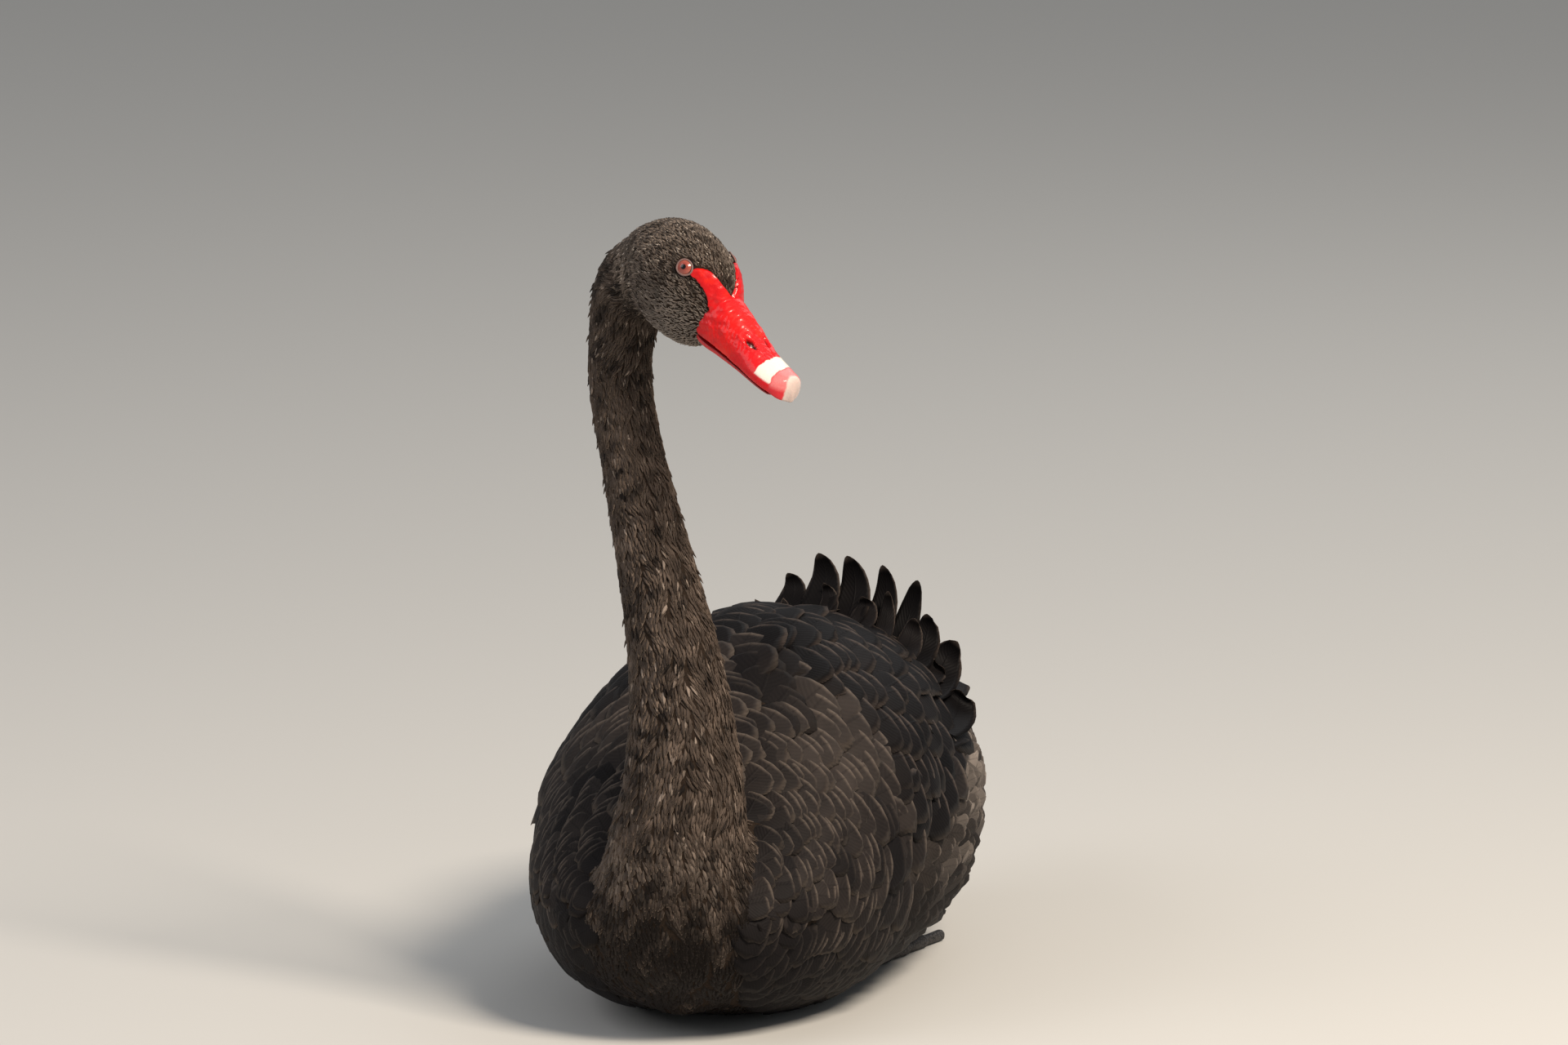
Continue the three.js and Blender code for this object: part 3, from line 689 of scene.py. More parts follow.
def swing(ways, rounds, angle):
    """Ways turned over the surface by an angle, towards the direction that runs round it."""
    return ways * np.cos(angle)[:, None] + rounds * np.sin(angle)[:, None]


# %% [markdown]
# A feather's blade is then spread round its midline. `outline` gives its half width from root to tip,
# `camber` arches it across, and `roll` tips one edge up so that neighbours lie over one another like
# shingles. A few points of the rim are drawn in, as where barbs have split. Each feather gets two maps:
# OFBake puts it on a tiny patch where its root is on the bird, and blade_map runs across and along the
# feather for its pattern.

# %% Spread the blades and join them
BAKE_PATCH = 0.003
small_outline = profile([[0, 0.35], [0.3, 0.9], [0.6, 1], [0.85, 0.72], [1, 0.2]])
tuft_outline = profile([[0, 0.6], [0.3, 1], [0.6, 0.8], [0.85, 0.4], [1, 0.1]])
round_outline = profile([[0, 0.3], [0.25, 0.82], [0.55, 1], [0.8, 0.93], [0.93, 0.66], [1, 0.3]])


def spread(shape, line, out, width, thick, outline, camber, roll, fray, rng):
    """The points of all blades, as an array of feathers by points by three."""
    along = unit(np.gradient(line, axis=1))
    side = unit(np.cross(along, out))
    out = np.cross(side, along)
    tilt = np.broadcast_to(np.asarray(roll, float), (len(line),))[:, None, None]
    side, out = side * np.cos(tilt) + out * np.sin(tilt), out * np.cos(tilt) - side * np.sin(tilt)
    row = shape["row"]
    half = width[:, None] / 2 * outline(shape["share"])[row]
    rim = np.abs(shape["across"]) > 0.6
    half = half * (1 + fray * rim * (rng.random(half.shape) - 0.6))
    split = rim & (rng.random(half.shape) < fray * 0.35)
    half = np.where(split, half * 0.82, half)
    across = shape["across"] * half
    body = np.minimum(1, 2.2 * shape["share"] + 0.25) * np.minimum(1, 2.4 * (1 - shape["share"]) + 0.1)
    deep = shape["height"] * thick * body[row]
    arch = -camber * shape["across"] ** 2 * half
    high = np.broadcast_to(deep + arch, half.shape)
    return line[:, row] + side[:, row] * across[..., None] + out[:, row] * high[..., None]


# %% Join a tract's feathers


def join_feathers(name, shape, points, bake, tone, light, material, slot, *replaced):
    """One mesh from all blades of a tract, with its two maps and its tones."""
    count, size = points.shape[:2]
    points = world(points.reshape(-1, 3))
    points[:, 2] = np.maximum(points[:, 2], FEATHER_CLEARANCE_MM * MM)
    faces = shape["faces"]
    a, b, c = (points[faces[:, corner]] for corner in range(3))
    if np.einsum("ij,ij->i", a, np.cross(b, c)).sum() < 0:
        faces = faces[:, ::-1]
    corners = (faces[None] + np.arange(count)[:, None, None] * size).reshape(-1)
    mesh = bpy.data.meshes.new(name)
    mesh.vertices.add(len(points))
    mesh.vertices.foreach_set("co", points.astype(np.float32).ravel())
    mesh.loops.add(len(corners))
    mesh.loops.foreach_set("vertex_index", corners.astype(np.int32))
    mesh.polygons.add(len(corners) // 3)
    mesh.polygons.foreach_set("loop_start", np.arange(0, len(corners), 3, dtype=np.int32))
    mesh.update(calc_edges=True)
    mesh.shade_smooth()
    local = np.stack([shape["across"] / 2 + 0.5, shape["share"][shape["row"]]], axis=1)
    placed = bake[:, None] + (local[None] - 0.5) * BAKE_PATCH
    for title, coords in (("OFBake", placed.reshape(-1, 2)), ("blade_map", np.tile(local, (count, 1)))):
        layer = mesh.uv_layers.new(name=title)
        layer.data.foreach_set("uv", coords[corners].astype(np.float32).ravel())
    store(mesh, "tone", np.repeat(tone, size))
    store(mesh, "light", np.repeat(light, size))
    mesh.materials.append(material)
    print(count, "feathers make")
    attach(put(name, mesh), slot, *replaced)


def bake_places(angle, along):
    """Where each feather's patch lies in the map to bake to: its angle round the form, and how far along."""
    return np.stack([angle / (2 * math.pi) + 0.5, along], axis=1)


# %% [markdown]
# ## Where the feathers grow
# Feathers grow in tracts, in rows that are set like bricks. The rows are walked over a form from the
# front towards the back: each row is one exposure further on than the last, and along a row the feathers
# are one pitch apart, so small feathers get close rows and big ones wide rows.

# %% Rows of roots
ROW_SAMPLES = 361


def tract(surface, start, stop, exposure, pitch, rng, jitter=0.16, shift=lambda here: 0.5):
    """Rows of roots over a form: their place along, their angle, and the way that they lie."""
    around = np.linspace(-math.pi, math.pi, ROW_SAMPLES)
    along = np.full(ROW_SAMPLES, float(start))
    found = []
    moved = 0.25
    small = 1e-3
    while along.min() < stop:
        here = surface(along, around)
        gap = np.linalg.norm(np.diff(here, axis=0), axis=1)
        count = np.concatenate([[0], np.cumsum(gap / pitch(here[1:], around[1:]))])
        marks = np.arange(moved % 1, count[-1], 1)
        marks = np.clip(marks + (rng.random(len(marks)) - 0.5) * 2 * jitter, 0, count[-1])
        angle = np.interp(marks, count, around)
        place = np.interp(marks, count, along)
        rate = np.linalg.norm(surface(along + small, around) - here, axis=1) / small
        step = np.minimum(exposure(here, around) / np.maximum(rate, 1e-6), 0.2 * (stop - start))
        place = place + (rng.random(len(marks)) - 0.5) * 2 * jitter * np.interp(marks, count, step)
        found.append(np.stack([place, angle], axis=1))
        along = along + step
        moved += shift(here)
    found = np.concatenate(found)
    place, angle = found[(found[:, 0] < stop) & (found[:, 0] > start)].T
    roots = surface(place, angle)
    ways = unit(surface(place + small, angle) - roots)
    rounds = unit(surface(place, angle + small) - roots)
    return place, angle, roots, ways, rounds


def kept(picked, *arrays):
    """The picked rows of each array."""
    return [array[picked] for array in arrays]


def even(size):
    """The same size everywhere, as a function for tract()."""
    return lambda here, a: np.full(len(here), size)


# %% [markdown]
# ## Feather finishes
# A black swan's feathers are keratin coloured by dark melanin: satin, never glossy, and brown rather than
# black at their worn rims. The finish draws a paler rim, a shaft, and fine slanting barbs from the
# feather's own map. Barbs are about 0.3 mm apart, too fine for the render, so they are drawn 2 to 5 mm
# apart.

# %% Feather materials


def feather_material(name, dark, worn, rim, pale, rim_width, barb_count, roughness, sheen):
    """Melanin-dark feather keratin with a worn rim, a shaft and barbs."""
    material, add, shader = new_material(
        name, Roughness=roughness, Specular_IOR_Level=0.07,
        Sheen_Weight=sheen, Sheen_Roughness=0.4, Sheen_Tint="#b9b4b8")
    place = add(SPLIT, add(BLADE_MAP))
    across = add(MULTIPLY, add(ABSOLUTE, add(SUBTRACT, place.outputs[0], 0.5)), 2.0)
    along = place.outputs[1]
    tone = add(TONE).outputs["Fac"]
    light = add(LIGHT).outputs["Fac"]
    here = add(PLACE).outputs["Object"]
    patches = add(NOISE, here, Scale=55.0, Detail=5.0)
    wear = add(NOISE, here, Scale=420.0, Detail=3.0)
    slant = add(SUBTRACT, add(MULTIPLY, along, barb_count), add(MULTIPLY, across, 4.0))
    barbs = add(MULTIPLY_ADD, add(SINE, add(MULTIPLY, slant, 2 * math.pi)), 0.25, 0.5)
    side = add(EASE, across, 1 - rim_width, 1.0)
    tip = add(EASE, along, 1 - rim_width * 0.45, 0.985)
    edge = add(POWER, add(MAXIMUM, side, tip), 1.6)
    edge = add(MULTIPLY, edge, add(EASE, along, 0.25, 0.6))
    edge = add(MULTIPLY, edge, add(EASE, wear, 0.2, 0.75, 0.6, 1.0))
    edge = add(MULTIPLY, edge, add(EASE, tone, 0.0, 0.3, 0.15, 1.0))
    colour = add(BLEND, add(MULTIPLY, tone, add(EASE, patches, 0.25, 0.75, 0.3, 1.0)), dark, worn)
    colour = add(BLEND, add(MULTIPLY, barbs, add(EASE, tone, 0.0, 0.4, 0.06, 0.35)), colour, worn)
    colour = add(BLEND, light, colour, pale)
    colour = add(BLEND, edge, colour, add(BLEND, light, rim, pale))
    shaft = add(SUBTRACT, 1.0, add(EASE, across, 0.02, 0.07))
    colour = add(BLEND, add(MULTIPLY, shaft, 0.25), colour, dark)
    height = add(ADD, barbs, add(MULTIPLY, shaft, 1.5))
    fill(shader, Base_Color=colour, Normal=add(BUMP, Strength=0.35, Distance=0.0004, Height=height))
    return material


HEAD_FINISH = feather_material(
    "short_velvet_feathers", "#2c2621", "#96877b", "#a39488", "#c0b3a6", 0.3, 3, 0.6, 0.06)
NECK_FINISH = feather_material(
    "damp_pointed_feathers", "#171311", "#75665b", "#978678", "#b3a294", 0.35, 3, 0.5, 0.03)
BODY_FINISH = feather_material(
    "contour_feathers", "#131112", "#38322f", "#60564e", "#6c625b", 0.28, 10, 0.6, 0.02)
WING_FINISH = feather_material(
    "wing_covert_feathers", "#080708", "#1a1717", "#564c46", "#625853", 0.22, 16, 0.55, 0.01)
FLANK_FINISH = feather_material(
    "downy_flank_feathers", "#171413", "#463f3a", "#6c625a", "#968b82", 0.3, 9, 0.75, 0.02)
PRIMARY_FINISH = feather_material(
    "white_flight_feathers", "#a8a29a", "#d9d4cb", "#e6e2da", "#e9e5dd", 0.1, 22, 0.5, 0.1)
print("feather finishes made")

# %% [markdown]
# ## Skin finish
# Between the feathers only dark down shows, so the skin is a rough brown-black.

# %% Skin material
skin.data.materials.append(grained(
    "dark_down", lambda add, here: add(NOISE, here, Scale=900.0, Detail=3.0),
    "#14110e", "#382d25", 0.6, 0.0008, Roughness=0.9, Specular_IOR_Level=0.07))
attach(skin, "body_feathers", "torso", "neck_lower", "neck_middle", "neck_upper", "head")

# %% [markdown]
# ## Head feathers
# The head is covered in feathers only 3 or 4 mm long that look like velvet. They lie back from the bill,
# leave the eye and the bare red skin free, and turn down the neck at the nape.

# %% Head
LORE_FRONT = [(-86.5, 34.6), (-80, 35), (-50, 35), (-50, -4.5), (-76, -4.5)]
LORE_BACK = [
    (-75, -1.5), (-73, 3), (-71.2, 8), (-71.6, 12), (-74.8, 18), (-77, 22), (-81.5, 25.8), (-86.5, 28),
]
FOREHEAD_TIP_U = 22.9
FOREHEAD_SPREAD = 0.9
FOREHEAD_FRONT_F = -68.0
LID_RADIUS = 5.2
NAPE_FADE = (118, 150)
CREASE_REACH = 25
NAPE_CREASE = np.array([-19.0, -122.0, 469.0])


def lore_outline(grow):
    """The bare skin between bill and eye, from the side, as points forward and up."""
    corner = EYE_F + LID_RADIUS
    top = np.array([(corner, EYE_U + 2.2), *LORE_FRONT]) + (0, grow)
    back = np.array([*LORE_BACK, (corner, EYE_U - 2.0)]) - (grow, 0)
    return np.vstack([top, back])


def forehead_point(local):
    """Whether points lie in the pointed tongue of feathers that runs down between the two bare patches."""
    return np.abs(local[:, 2]) < FOREHEAD_SPREAD * (local[:, 1] - FOREHEAD_TIP_U)


def inside(points, outline):
    """Whether each point lies inside a closed outline."""
    x, y = points[:, 0:1], points[:, 1:2]
    ax, ay = outline.T
    bx, by = np.roll(outline, -1, axis=0).T
    crosses = ((ay > y) != (by > y)) & (x < (bx - ax) * (y - ay) / np.where(by == ay, 1e-9, by - ay) + ax)
    return crosses.sum(axis=1) % 2 == 1


def eye_seat(side):
    """Where an eye's middle shows on the head, and the way it looks: side is 1 for the right eye."""
    q = np.array((EYE_F - (SKULL_FRONT_F + SKULL_BACK_F) / 2) / ((SKULL_FRONT_F - SKULL_BACK_F) / 2))
    a = side * np.arccos((EYE_U - skull_middle(q)) / (skull_top(q) * np.sqrt(1 - q * q)))
    small = 0.01
    spot = skull_point(q, a)
    out = unit(np.cross(skull_point(q + small, a) - spot, skull_point(q, a + small) - spot))
    return spot, out * np.sign(out @ RIGHT) * side


EYE_SEATS = {"right": eye_seat(1), "left": eye_seat(-1)}
print("eyes at, mm:", {side: np.round(spot, 1).tolist() for side, (spot, _) in EYE_SEATS.items()})

# %% Random ripples, and roots that show


def ripple(points, size, seed):
    """A smooth random value from about -1 to 1 that changes over a size in millimetres."""
    rng = np.random.default_rng(seed)
    total = np.zeros(len(points))
    for _ in range(6):
        wave = unit(rng.normal(size=3)) * 2 * math.pi / size * rng.uniform(0.6, 1.6)
        total += np.sin(points @ wave + rng.uniform(0, 7))
    return total / 3


def near_skin(roots, limit):
    """Whether each root lies at the skin, and isn't buried where two forms meet."""
    place, _ = snap(roots)
    return np.linalg.norm(place - roots, axis=1) < limit


def crease_roots(rng):
    """Roots over the crease behind the head, where the rows of neither form reach."""
    roots = get_points(skin) / MM + ORIGIN
    roots = roots[np.linalg.norm(roots - NAPE_CREASE, axis=1) < CREASE_REACH]
    roots = np.repeat(roots, 3, axis=0)
    return roots + 1.1 * rng.normal(size=roots.shape)


# %% Lay the head feathers


def make_head():
    """Short tufts from the bill to the nape, denser over the crease where the head meets the neck."""
    rng = np.random.default_rng(5)
    place, angle, roots, ways, _ = tract(head_skin, 0.05, 3.1, even(1.45), even(1.35), rng, 0.35)
    local = head_place(roots)
    bare = inside(local[:, :2], lore_outline(0.6)) & ~forehead_point(local)
    for spot, _ in EYE_SEATS.values():
        bare |= np.linalg.norm(roots - spot, axis=1) < LID_RADIUS + 1.1
    bare |= (local[:, 0] > GAPE_F - 2) & (local[:, 1] < -3) & (local[:, 1] > -12)
    seen = near_skin(roots, 1.4 + 13 * smooth(-local[:, 0], *NAPE_FADE))
    place, angle, roots, ways, local = kept(~bare & seen, place, angle, roots, ways, local)
    added = crease_roots(rng)
    beside = head_place(added)
    mid_f = (SKULL_FRONT_F + SKULL_BACK_F) / 2
    roots = np.concatenate([roots, added])
    local = np.concatenate([local, beside])
    angle = np.concatenate([angle, np.arctan2(beside[:, 2], beside[:, 1])])
    around = np.arccos(np.clip((beside[:, 0] - mid_f) / (SKULL_FRONT_F - mid_f), -1, 1))
    place = np.concatenate([place, around])
    _, down = neck_line(np.full(len(roots), 0.9))
    ways = np.concatenate([ways, -down[:len(added)]])
    nape = smooth(-local[:, 0], *NAPE_FADE)[:, None]
    ways = unit(ways * (1 - nape) - down * nape)
    ways = ways + 0.35 * rng.normal(size=ways.shape)
    size = 2.6 + 1.5 * smooth(-local[:, 0], 70, 150)
    size *= 0.85 + 0.4 * rng.random(len(size))
    lift = 0.5 + 0.9 * rng.random(len(size)) ** 2
    tone = np.clip(0.35 + 0.35 * ripple(roots, 9, 3) + 0.5 * (rng.random(len(size)) - 0.4), 0, 1)
    cheek = smooth(-local[:, 1], -26, 5) * smooth(local[:, 0], -125, -85)
    light = np.clip(0.75 * cheek * (0.4 + 0.6 * rng.random(len(size))), 0, 1)
    light = np.where(rng.random(len(size)) < 0.09, 0.4 + 0.6 * rng.random(len(size)), light)
    size = np.where(light > 0.6, size * 0.7, size)
    line, out = walk(roots, ways, size, TUFT["share"], lambda s: lift * s - 0.3)
    points = spread(TUFT, line, out, size * 0.42, 0.45, tuft_outline, 0.0, 0.0, 0.1, rng)
    join_feathers("head_feathers", TUFT, points, bake_places(angle, place / math.pi), tone, light,
                  HEAD_FINISH, "head_feathers")


make_head()

# %% [markdown]
# ## Neck feathers
# The neck's feathers are narrow and pointed. They are damp, so their tips cling together in small points
# with dark partings between them. A share of the feathers act as the middles of clumps, and their
# neighbours aim at the same tip.

# %% Neck and chest


def clumped(roots, ways, reach_mm, share, pull, rng):
    """Ways that aim at the tips of a few of the feathers, so that tips draw together."""
    centres = np.flatnonzero(rng.random(len(roots)) < share)
    tree = KDTree(len(centres))
    tips = roots + ways * reach_mm[:, None] * 1.15
    for i, centre in enumerate(centres):
        tree.insert(roots[centre], i)
    tree.balance()
    nearest = centres[[tree.find(root)[1] for root in roots.tolist()]]
    aim = unit(tips[nearest] - roots)
    return unit(ways * (1 - pull) + aim * pull)


def along_neck(values):
    """A size that changes along the neck, as a function for tract()."""
    size = profile(values)
    return lambda here, a: size(here[:, 2])


def make_neck(name, start, stop, seed):
    """One piece of the neck's tufts, between two shares of its length from the head down."""
    rng = np.random.default_rng(seed)
    exposure = along_neck([[40, 3.3], [160, 2.8], [300, 2.4], [400, 2.1], [470, 1.7]])
    pitch = along_neck([[40, 2.8], [160, 2.5], [300, 2.2], [400, 1.9], [470, 1.6]])
    place, angle, roots, ways, rounds = tract(neck_skin, start, stop, exposure, pitch, rng, 0.3)
    seen = near_skin(roots, 2.2 + 10 * (place < 0.16))
    place, angle, roots, ways, rounds = kept(seen, place, angle, roots, ways, rounds)
    yaw = 0.32 * ripple(roots, 34, seed + 1) + 0.16 * rng.normal(size=len(roots))
    ways = swing(ways, rounds, yaw)
    size = exposure(roots, angle) * (2.9 + 0.9 * rng.random(len(roots)))
    ways = clumped(roots, ways, size, 0.16, 0.55, rng)
    lift = 0.9 + 0.7 * rng.random(len(roots)) ** 1.5 + 0.35 * ripple(roots, 12, seed + 2)
    lift = np.where(rng.random(len(roots)) < 0.02, lift + 1.6, lift)
    line, out = walk(roots, ways, size, TUFT["share"], lambda s: lift * s ** 0.8 - 0.5)
    points = spread(TUFT, line, out, size * 0.35, 0.8, tuft_outline, 0.1, 0.0, 0.15, rng)
    tone = 0.5 + 0.35 * ripple(roots, 15, seed + 3) + 0.35 * (rng.random(len(size)) - 0.5)
    tone = np.clip(tone, 0, 1) * (1 - 0.45 * smooth(roots[:, 2], 360, 440))
    light = np.where(rng.random(len(size)) < 0.055, 0.65 * rng.random(len(size)), 0.0)
    join_feathers(name, TUFT, points, bake_places(angle, place), tone, light, NECK_FINISH, "neck_feathers")


make_neck("neck_feathers_upper", 0.02, 0.42, 21)
make_neck("neck_feathers_lower", 0.42, 0.76, 22)


# %% The chest column


def in_column(points, grow=0.0):
    """Whether places on the breast lie in the column of small feathers that runs down from the neck."""
    half = 47 + grow + np.clip((116 - points[:, 2]) * 0.25, 0, 12)
    return (np.abs(points[:, 0] - 3) < half) & (points[:, 1] < -120) & (points[:, 2] < 122 + grow)


def make_chest():
    """The chest column: small rounded feathers that overlap closely and are mottled brown."""
    rng = np.random.default_rng(31)
    exposure = along_neck([[10, 2.9], [100, 2.7], [170, 2.8]])
    pitch = along_neck([[10, 2.7], [100, 2.5], [170, 2.5]])
    place, angle, roots, ways, rounds = tract(neck_skin, 0.74, 0.985, exposure, pitch, rng, 0.3)
    upper = kept(near_skin(roots, 2.0), place, angle, roots, ways, rounds)
    place, angle, roots, ways, rounds = tract(body_skin, 0.02, 1.3, exposure, pitch, rng, 0.3)
    ways = unit(np.array([0, 0.1, -1.0]) + 0.15 * ways)
    rounds = unit(np.cross(ways, [0, 1.0, 0]))
    lower = kept(near_skin(roots, 3.0) & in_column(roots), place / math.pi, angle, roots, ways, rounds)
    place, angle, roots, ways, rounds = (np.concatenate(pair) for pair in zip(upper, lower))
    sunk = smooth(-roots[:, 2], -165, -125)[:, None]
    ways = unit(ways * (1 - sunk) + np.array([0, 0, -1.0]) * sunk)
    rounds = unit(np.cross(ways, [0, 1.0, 0]))
    yaw = 0.2 * ripple(roots, 40, 32) + 0.14 * rng.normal(size=len(roots))
    ways = swing(ways, rounds, yaw)
    size = exposure(roots, angle) * (2.8 + 0.7 * rng.random(len(roots)))
    ways = clumped(roots, ways, size, 0.14, 0.5, rng)
    lift = 1.0 + 0.5 * rng.random(len(roots)) + 0.35 * ripple(roots, 14, 33)
    line, out = walk(roots, ways, size, TUFT["share"], lambda s: lift * s ** 0.9 - 0.6)
    points = spread(TUFT, line, out, size * 0.42, 0.6, small_outline, 0.15, 0.0, 0.25, rng)
    # Painted shade: low, which wanders a little with a ripple, darkens the column's lowest tufts and fades
    # their pale flecks, where the breast turns under away from the lights.
    low = smooth(9 * ripple(roots, 30, 36) - roots[:, 2], -126, -56)
    tone = 0.42 + 0.3 * ripple(roots, 24, 34) + 0.35 * (rng.random(len(size)) - 0.5)
    tone = np.clip(tone - 0.6 * low, 0, 1)
    light = np.clip(0.2 + 0.3 * ripple(roots, 20, 35), 0, 1) * rng.random(len(size)) ** 2 * (1 - low)
    join_feathers("chest_feathers", TUFT, points, bake_places(angle, place), tone, light,
                  NECK_FINISH, "neck_feathers")


make_chest()

# %% [markdown]
# ## Body and wing feathers
# One set of rows runs from the breast over the back, the wings, the flanks and the belly to the rump. The
# rows lie about 4 mm apart at the breast and 13 mm apart on the folded wing, and along a row the feathers
# are about 15 to 33 mm apart. Where a feather's root lies on the wing pad it belongs to that wing, so the
# pieces part along the wing's edge.

# %% Body and wings
upper_exposure = profile([
    [-235, 3.7], [-190, 4.0], [-150, 4.6], [-110, 5.6], [-70, 7.2], [-30, 9.6], [10, 12], [50, 13.5],
    [90, 13.5], [130, 12], [180, 10.5], [225, 8.5], [262, 7],
])
lower_exposure = profile([
    [-235, 3.8], [-180, 4.4], [-120, 5.4], [-60, 7.5], [0, 9], [80, 10], [170, 9.5], [262, 7],
])
way_turn = profile([[-235, 34], [-180, 26], [-120, 20], [-66, 15], [-20, 11], [40, 5], [100, 0], [264, 0]])
pitch_share = profile([[-235, 4.2], [-120, 4.8], [-75, 4.2], [-30, 2.9], [0, 2.5], [264, 2.3]])
LENGTH_SHARE = 5.4
WIDTH_SHARE = 1.42
BELLY_ANGLE = 2.1
FLANK_FRONT_Y = -95
FLANK_NARROWING = 0.58
RAGGED_BACK_Y = 120
SHOULDER_PALENESS = 0.11
DOWN_PALENESS = 0.9
SIDES = [("right", -1), ("left", 1)]


def below_wing(here, a):
    """0 on the wing and the back, and 1 on the flank and belly."""
    low = wing_low(here[:, 1])
    return smooth(np.abs(a), low - 0.06, low + 0.1)


def body_exposure(here, a):
    """How far apart the rows of the body lie."""
    share = below_wing(here, a)
    return upper_exposure(here[:, 1]) * (1 - share) + lower_exposure(here[:, 1]) * share


def body_pitch(here, a):
    """How far apart the feathers of a row lie, closer on the downy flank."""
    belly = smooth(np.abs(a), 2.2, 2.9)
    flank = below_wing(here, a) * smooth(here[:, 1], -120, -60) * (1 - belly)
    return body_exposure(here, a) * (pitch_share(here[:, 1]) - 1.3 * flank)


# %% Lay the body feathers


def lay_body():
    """All body feathers, their roots' places, and whether each lies on the wing and on the flank."""
    rng = np.random.default_rng(41)
    place, angle, roots, ways, rounds = tract(
        body_skin, 0.12, 3.0, body_exposure, body_pitch, rng, 0.14,
        lambda here: 0.22 + 0.28 * smooth(here[:, 1].mean(), -70, 10))
    seen = near_skin(roots, 6.0) & ~in_column(roots, -16.0)
    place, angle, roots, ways, rounds = kept(seen, place, angle, roots, ways, rounds)
    y = roots[:, 1]
    off = np.abs(angle)
    turn = np.radians(way_turn(y)) * smooth(off, 0.05, 0.35) * (1 - smooth(off, 1.7, 2.4)) * np.sign(angle)
    turn = turn + 0.1 * rng.normal(size=len(y)) + 0.1 * ripple(roots, 45, 45)
    ways = swing(ways, rounds, turn)
    wing = (wing_share(y, angle) > 0.3) & (off < wing_low(y))
    flank = (off > wing_low(y)) & (y > FLANK_FRONT_Y)
    exposure = body_exposure(roots, angle)
    size = exposure * LENGTH_SHARE * (0.92 + 0.16 * rng.random(len(y)))
    size = size * np.where(y > RAGGED_BACK_Y, 0.7 + 0.6 * rng.random(len(y)), 1)
    width = exposure * pitch_share(y) * WIDTH_SHARE * np.where(flank, FLANK_NARROWING, 1)
    width = width * (0.85 + 0.3 * rng.random(len(y)))
    lift = np.where(wing, 3.0 + 0.06 * size, 1.6 + 0.085 * size) * (0.85 + 0.3 * rng.random(len(y)))
    lift = np.where(flank, lift * (0.5 + 0.5 * rng.random(len(y))), lift)
    line, out = walk(roots, ways, size, BROAD_FEATHER["share"], lambda s: lift * s ** 1.6 - 0.7)
    roll = np.sign(angle) * np.where(wing, 0.11, 0.07) + 0.03 * rng.normal(size=len(y))
    thick = np.where(wing, 0.7, 0.6)[:, None]
    fray = np.where(wing, 0.05, 0.16)
    fray = np.where(flank, 0.4, fray)[:, None]
    points = spread(BROAD_FEATHER, line, out, width, thick, round_outline, 0.09, roll, fray, rng)
    narrow = spread(BROAD_FEATHER, line, out, width, thick, small_outline, 0.2, roll, fray, rng)
    points = np.where(flank[:, None, None], narrow, points)
    tone = np.clip(0.4 + 0.25 * ripple(roots, 60, 42) + 0.5 * (rng.random(len(y)) - 0.5), 0, 1)
    # Painted shade: tone darkens towards the bottom of the body, where it turns under away from the lights,
    # and feathers within 8 mm of the chest column are darkened to paint the shadow line along its edge.
    tone = tone * (1 - 0.8 * smooth(-roots[:, 2], -96, -66)) * np.where(in_column(roots, 8.0), 0.4, 1)
    shoulder = smooth(y, -135, -105) * (1 - smooth(y, -88, -50))
    shoulder = shoulder * smooth(off, 0.2, 0.45) * (1 - smooth(off, 0.8, 1.15))
    light = SHOULDER_PALENESS * shoulder * (0.4 + 0.6 * rng.random(len(y)))
    downy = flank * smooth(y, -60, 0) * (1 - smooth(off, 1.75, 2.1))
    downy = DOWN_PALENESS * downy * np.clip(0.3 + 0.8 * ripple(roots, 40, 43), 0, 1)
    light = np.clip(light + downy * (0.3 + 0.7 * rng.random(len(y))), 0, 1)
    laid = [points, bake_places(angle, place / math.pi), tone, light]
    return laid, y, angle, wing, flank


def join_tract(name, picked, finish, slot, *replaced):
    """Joins the picked feathers of the body into one piece."""
    join_feathers(name, BROAD_FEATHER, *kept(picked, *laid), finish, slot, *replaced)


laid, root_y, root_angle, on_wing, on_flank = lay_body()
on_belly = ~on_wing & (np.abs(root_angle) > BELLY_ANGLE)
elsewhere = ~on_wing & ~on_flank & ~on_belly
join_tract("belly_feathers", on_belly, BODY_FINISH, "body_feathers")
join_tract("flank_feathers", on_flank & ~on_wing & ~on_belly, FLANK_FINISH, "body_feathers")
join_tract("breast_feathers", elsewhere & (root_y < 0), BODY_FINISH, "body_feathers")
join_tract("rump_feathers", elsewhere & (root_y >= 0), BODY_FINISH, "body_feathers")
for side_name, side in SIDES:
    join_tract("wing_" + side_name + "_coverts", on_wing & (np.sign(root_angle) == side),
               WING_FINISH, "wing_feathers", "wing_" + side_name)

# %% [markdown]
# ## Curled tertials
# The swan's innermost wing feathers curl, and their tips stand up behind the back like small horns. Each
# follows a smooth curve of four points: out of the wing, back along it, up, and into the tip. Shorter
# feathers stand close in front of and behind the tall ones.

# %% Tertials
# Each plume is its root's place along the body and angle from the back in degrees, its tip, its width and
# how far it leans sideways. The swan's left side is 1 and its right side is -1.
PLUMES = {
    1: [
        (88, 7, (8.5, 126, 244), 20, 8), (94, 17, (25.5, 132, 242), 20, 8),
        (98, 26, (47, 138, 236), 16, 6), (98, 34, (69.5, 140, 227), 15, -2),
        (90, 41, (77, 134, 207), 18, 3), (82, 50, (98, 130, 191), 23, -8),
        (56, 61, (107, 104, 165), 22, -4),
    ],
    -1: [
        (86, 5, (-10.5, 122, 231), 16, 7), (74, 14, (-33, 110, 208.5), 18, 3),
        (92, 21, (-42, 136, 207), 18, 2), (94, 31, (-61, 136, 199), 18, 2),
        (88, 41, (-78, 132, 187), 20, 3), (78, 51, (-93, 124, 176), 22, 4),
        (54, 61, (-106, 100, 155), 22, 2),
    ],
}
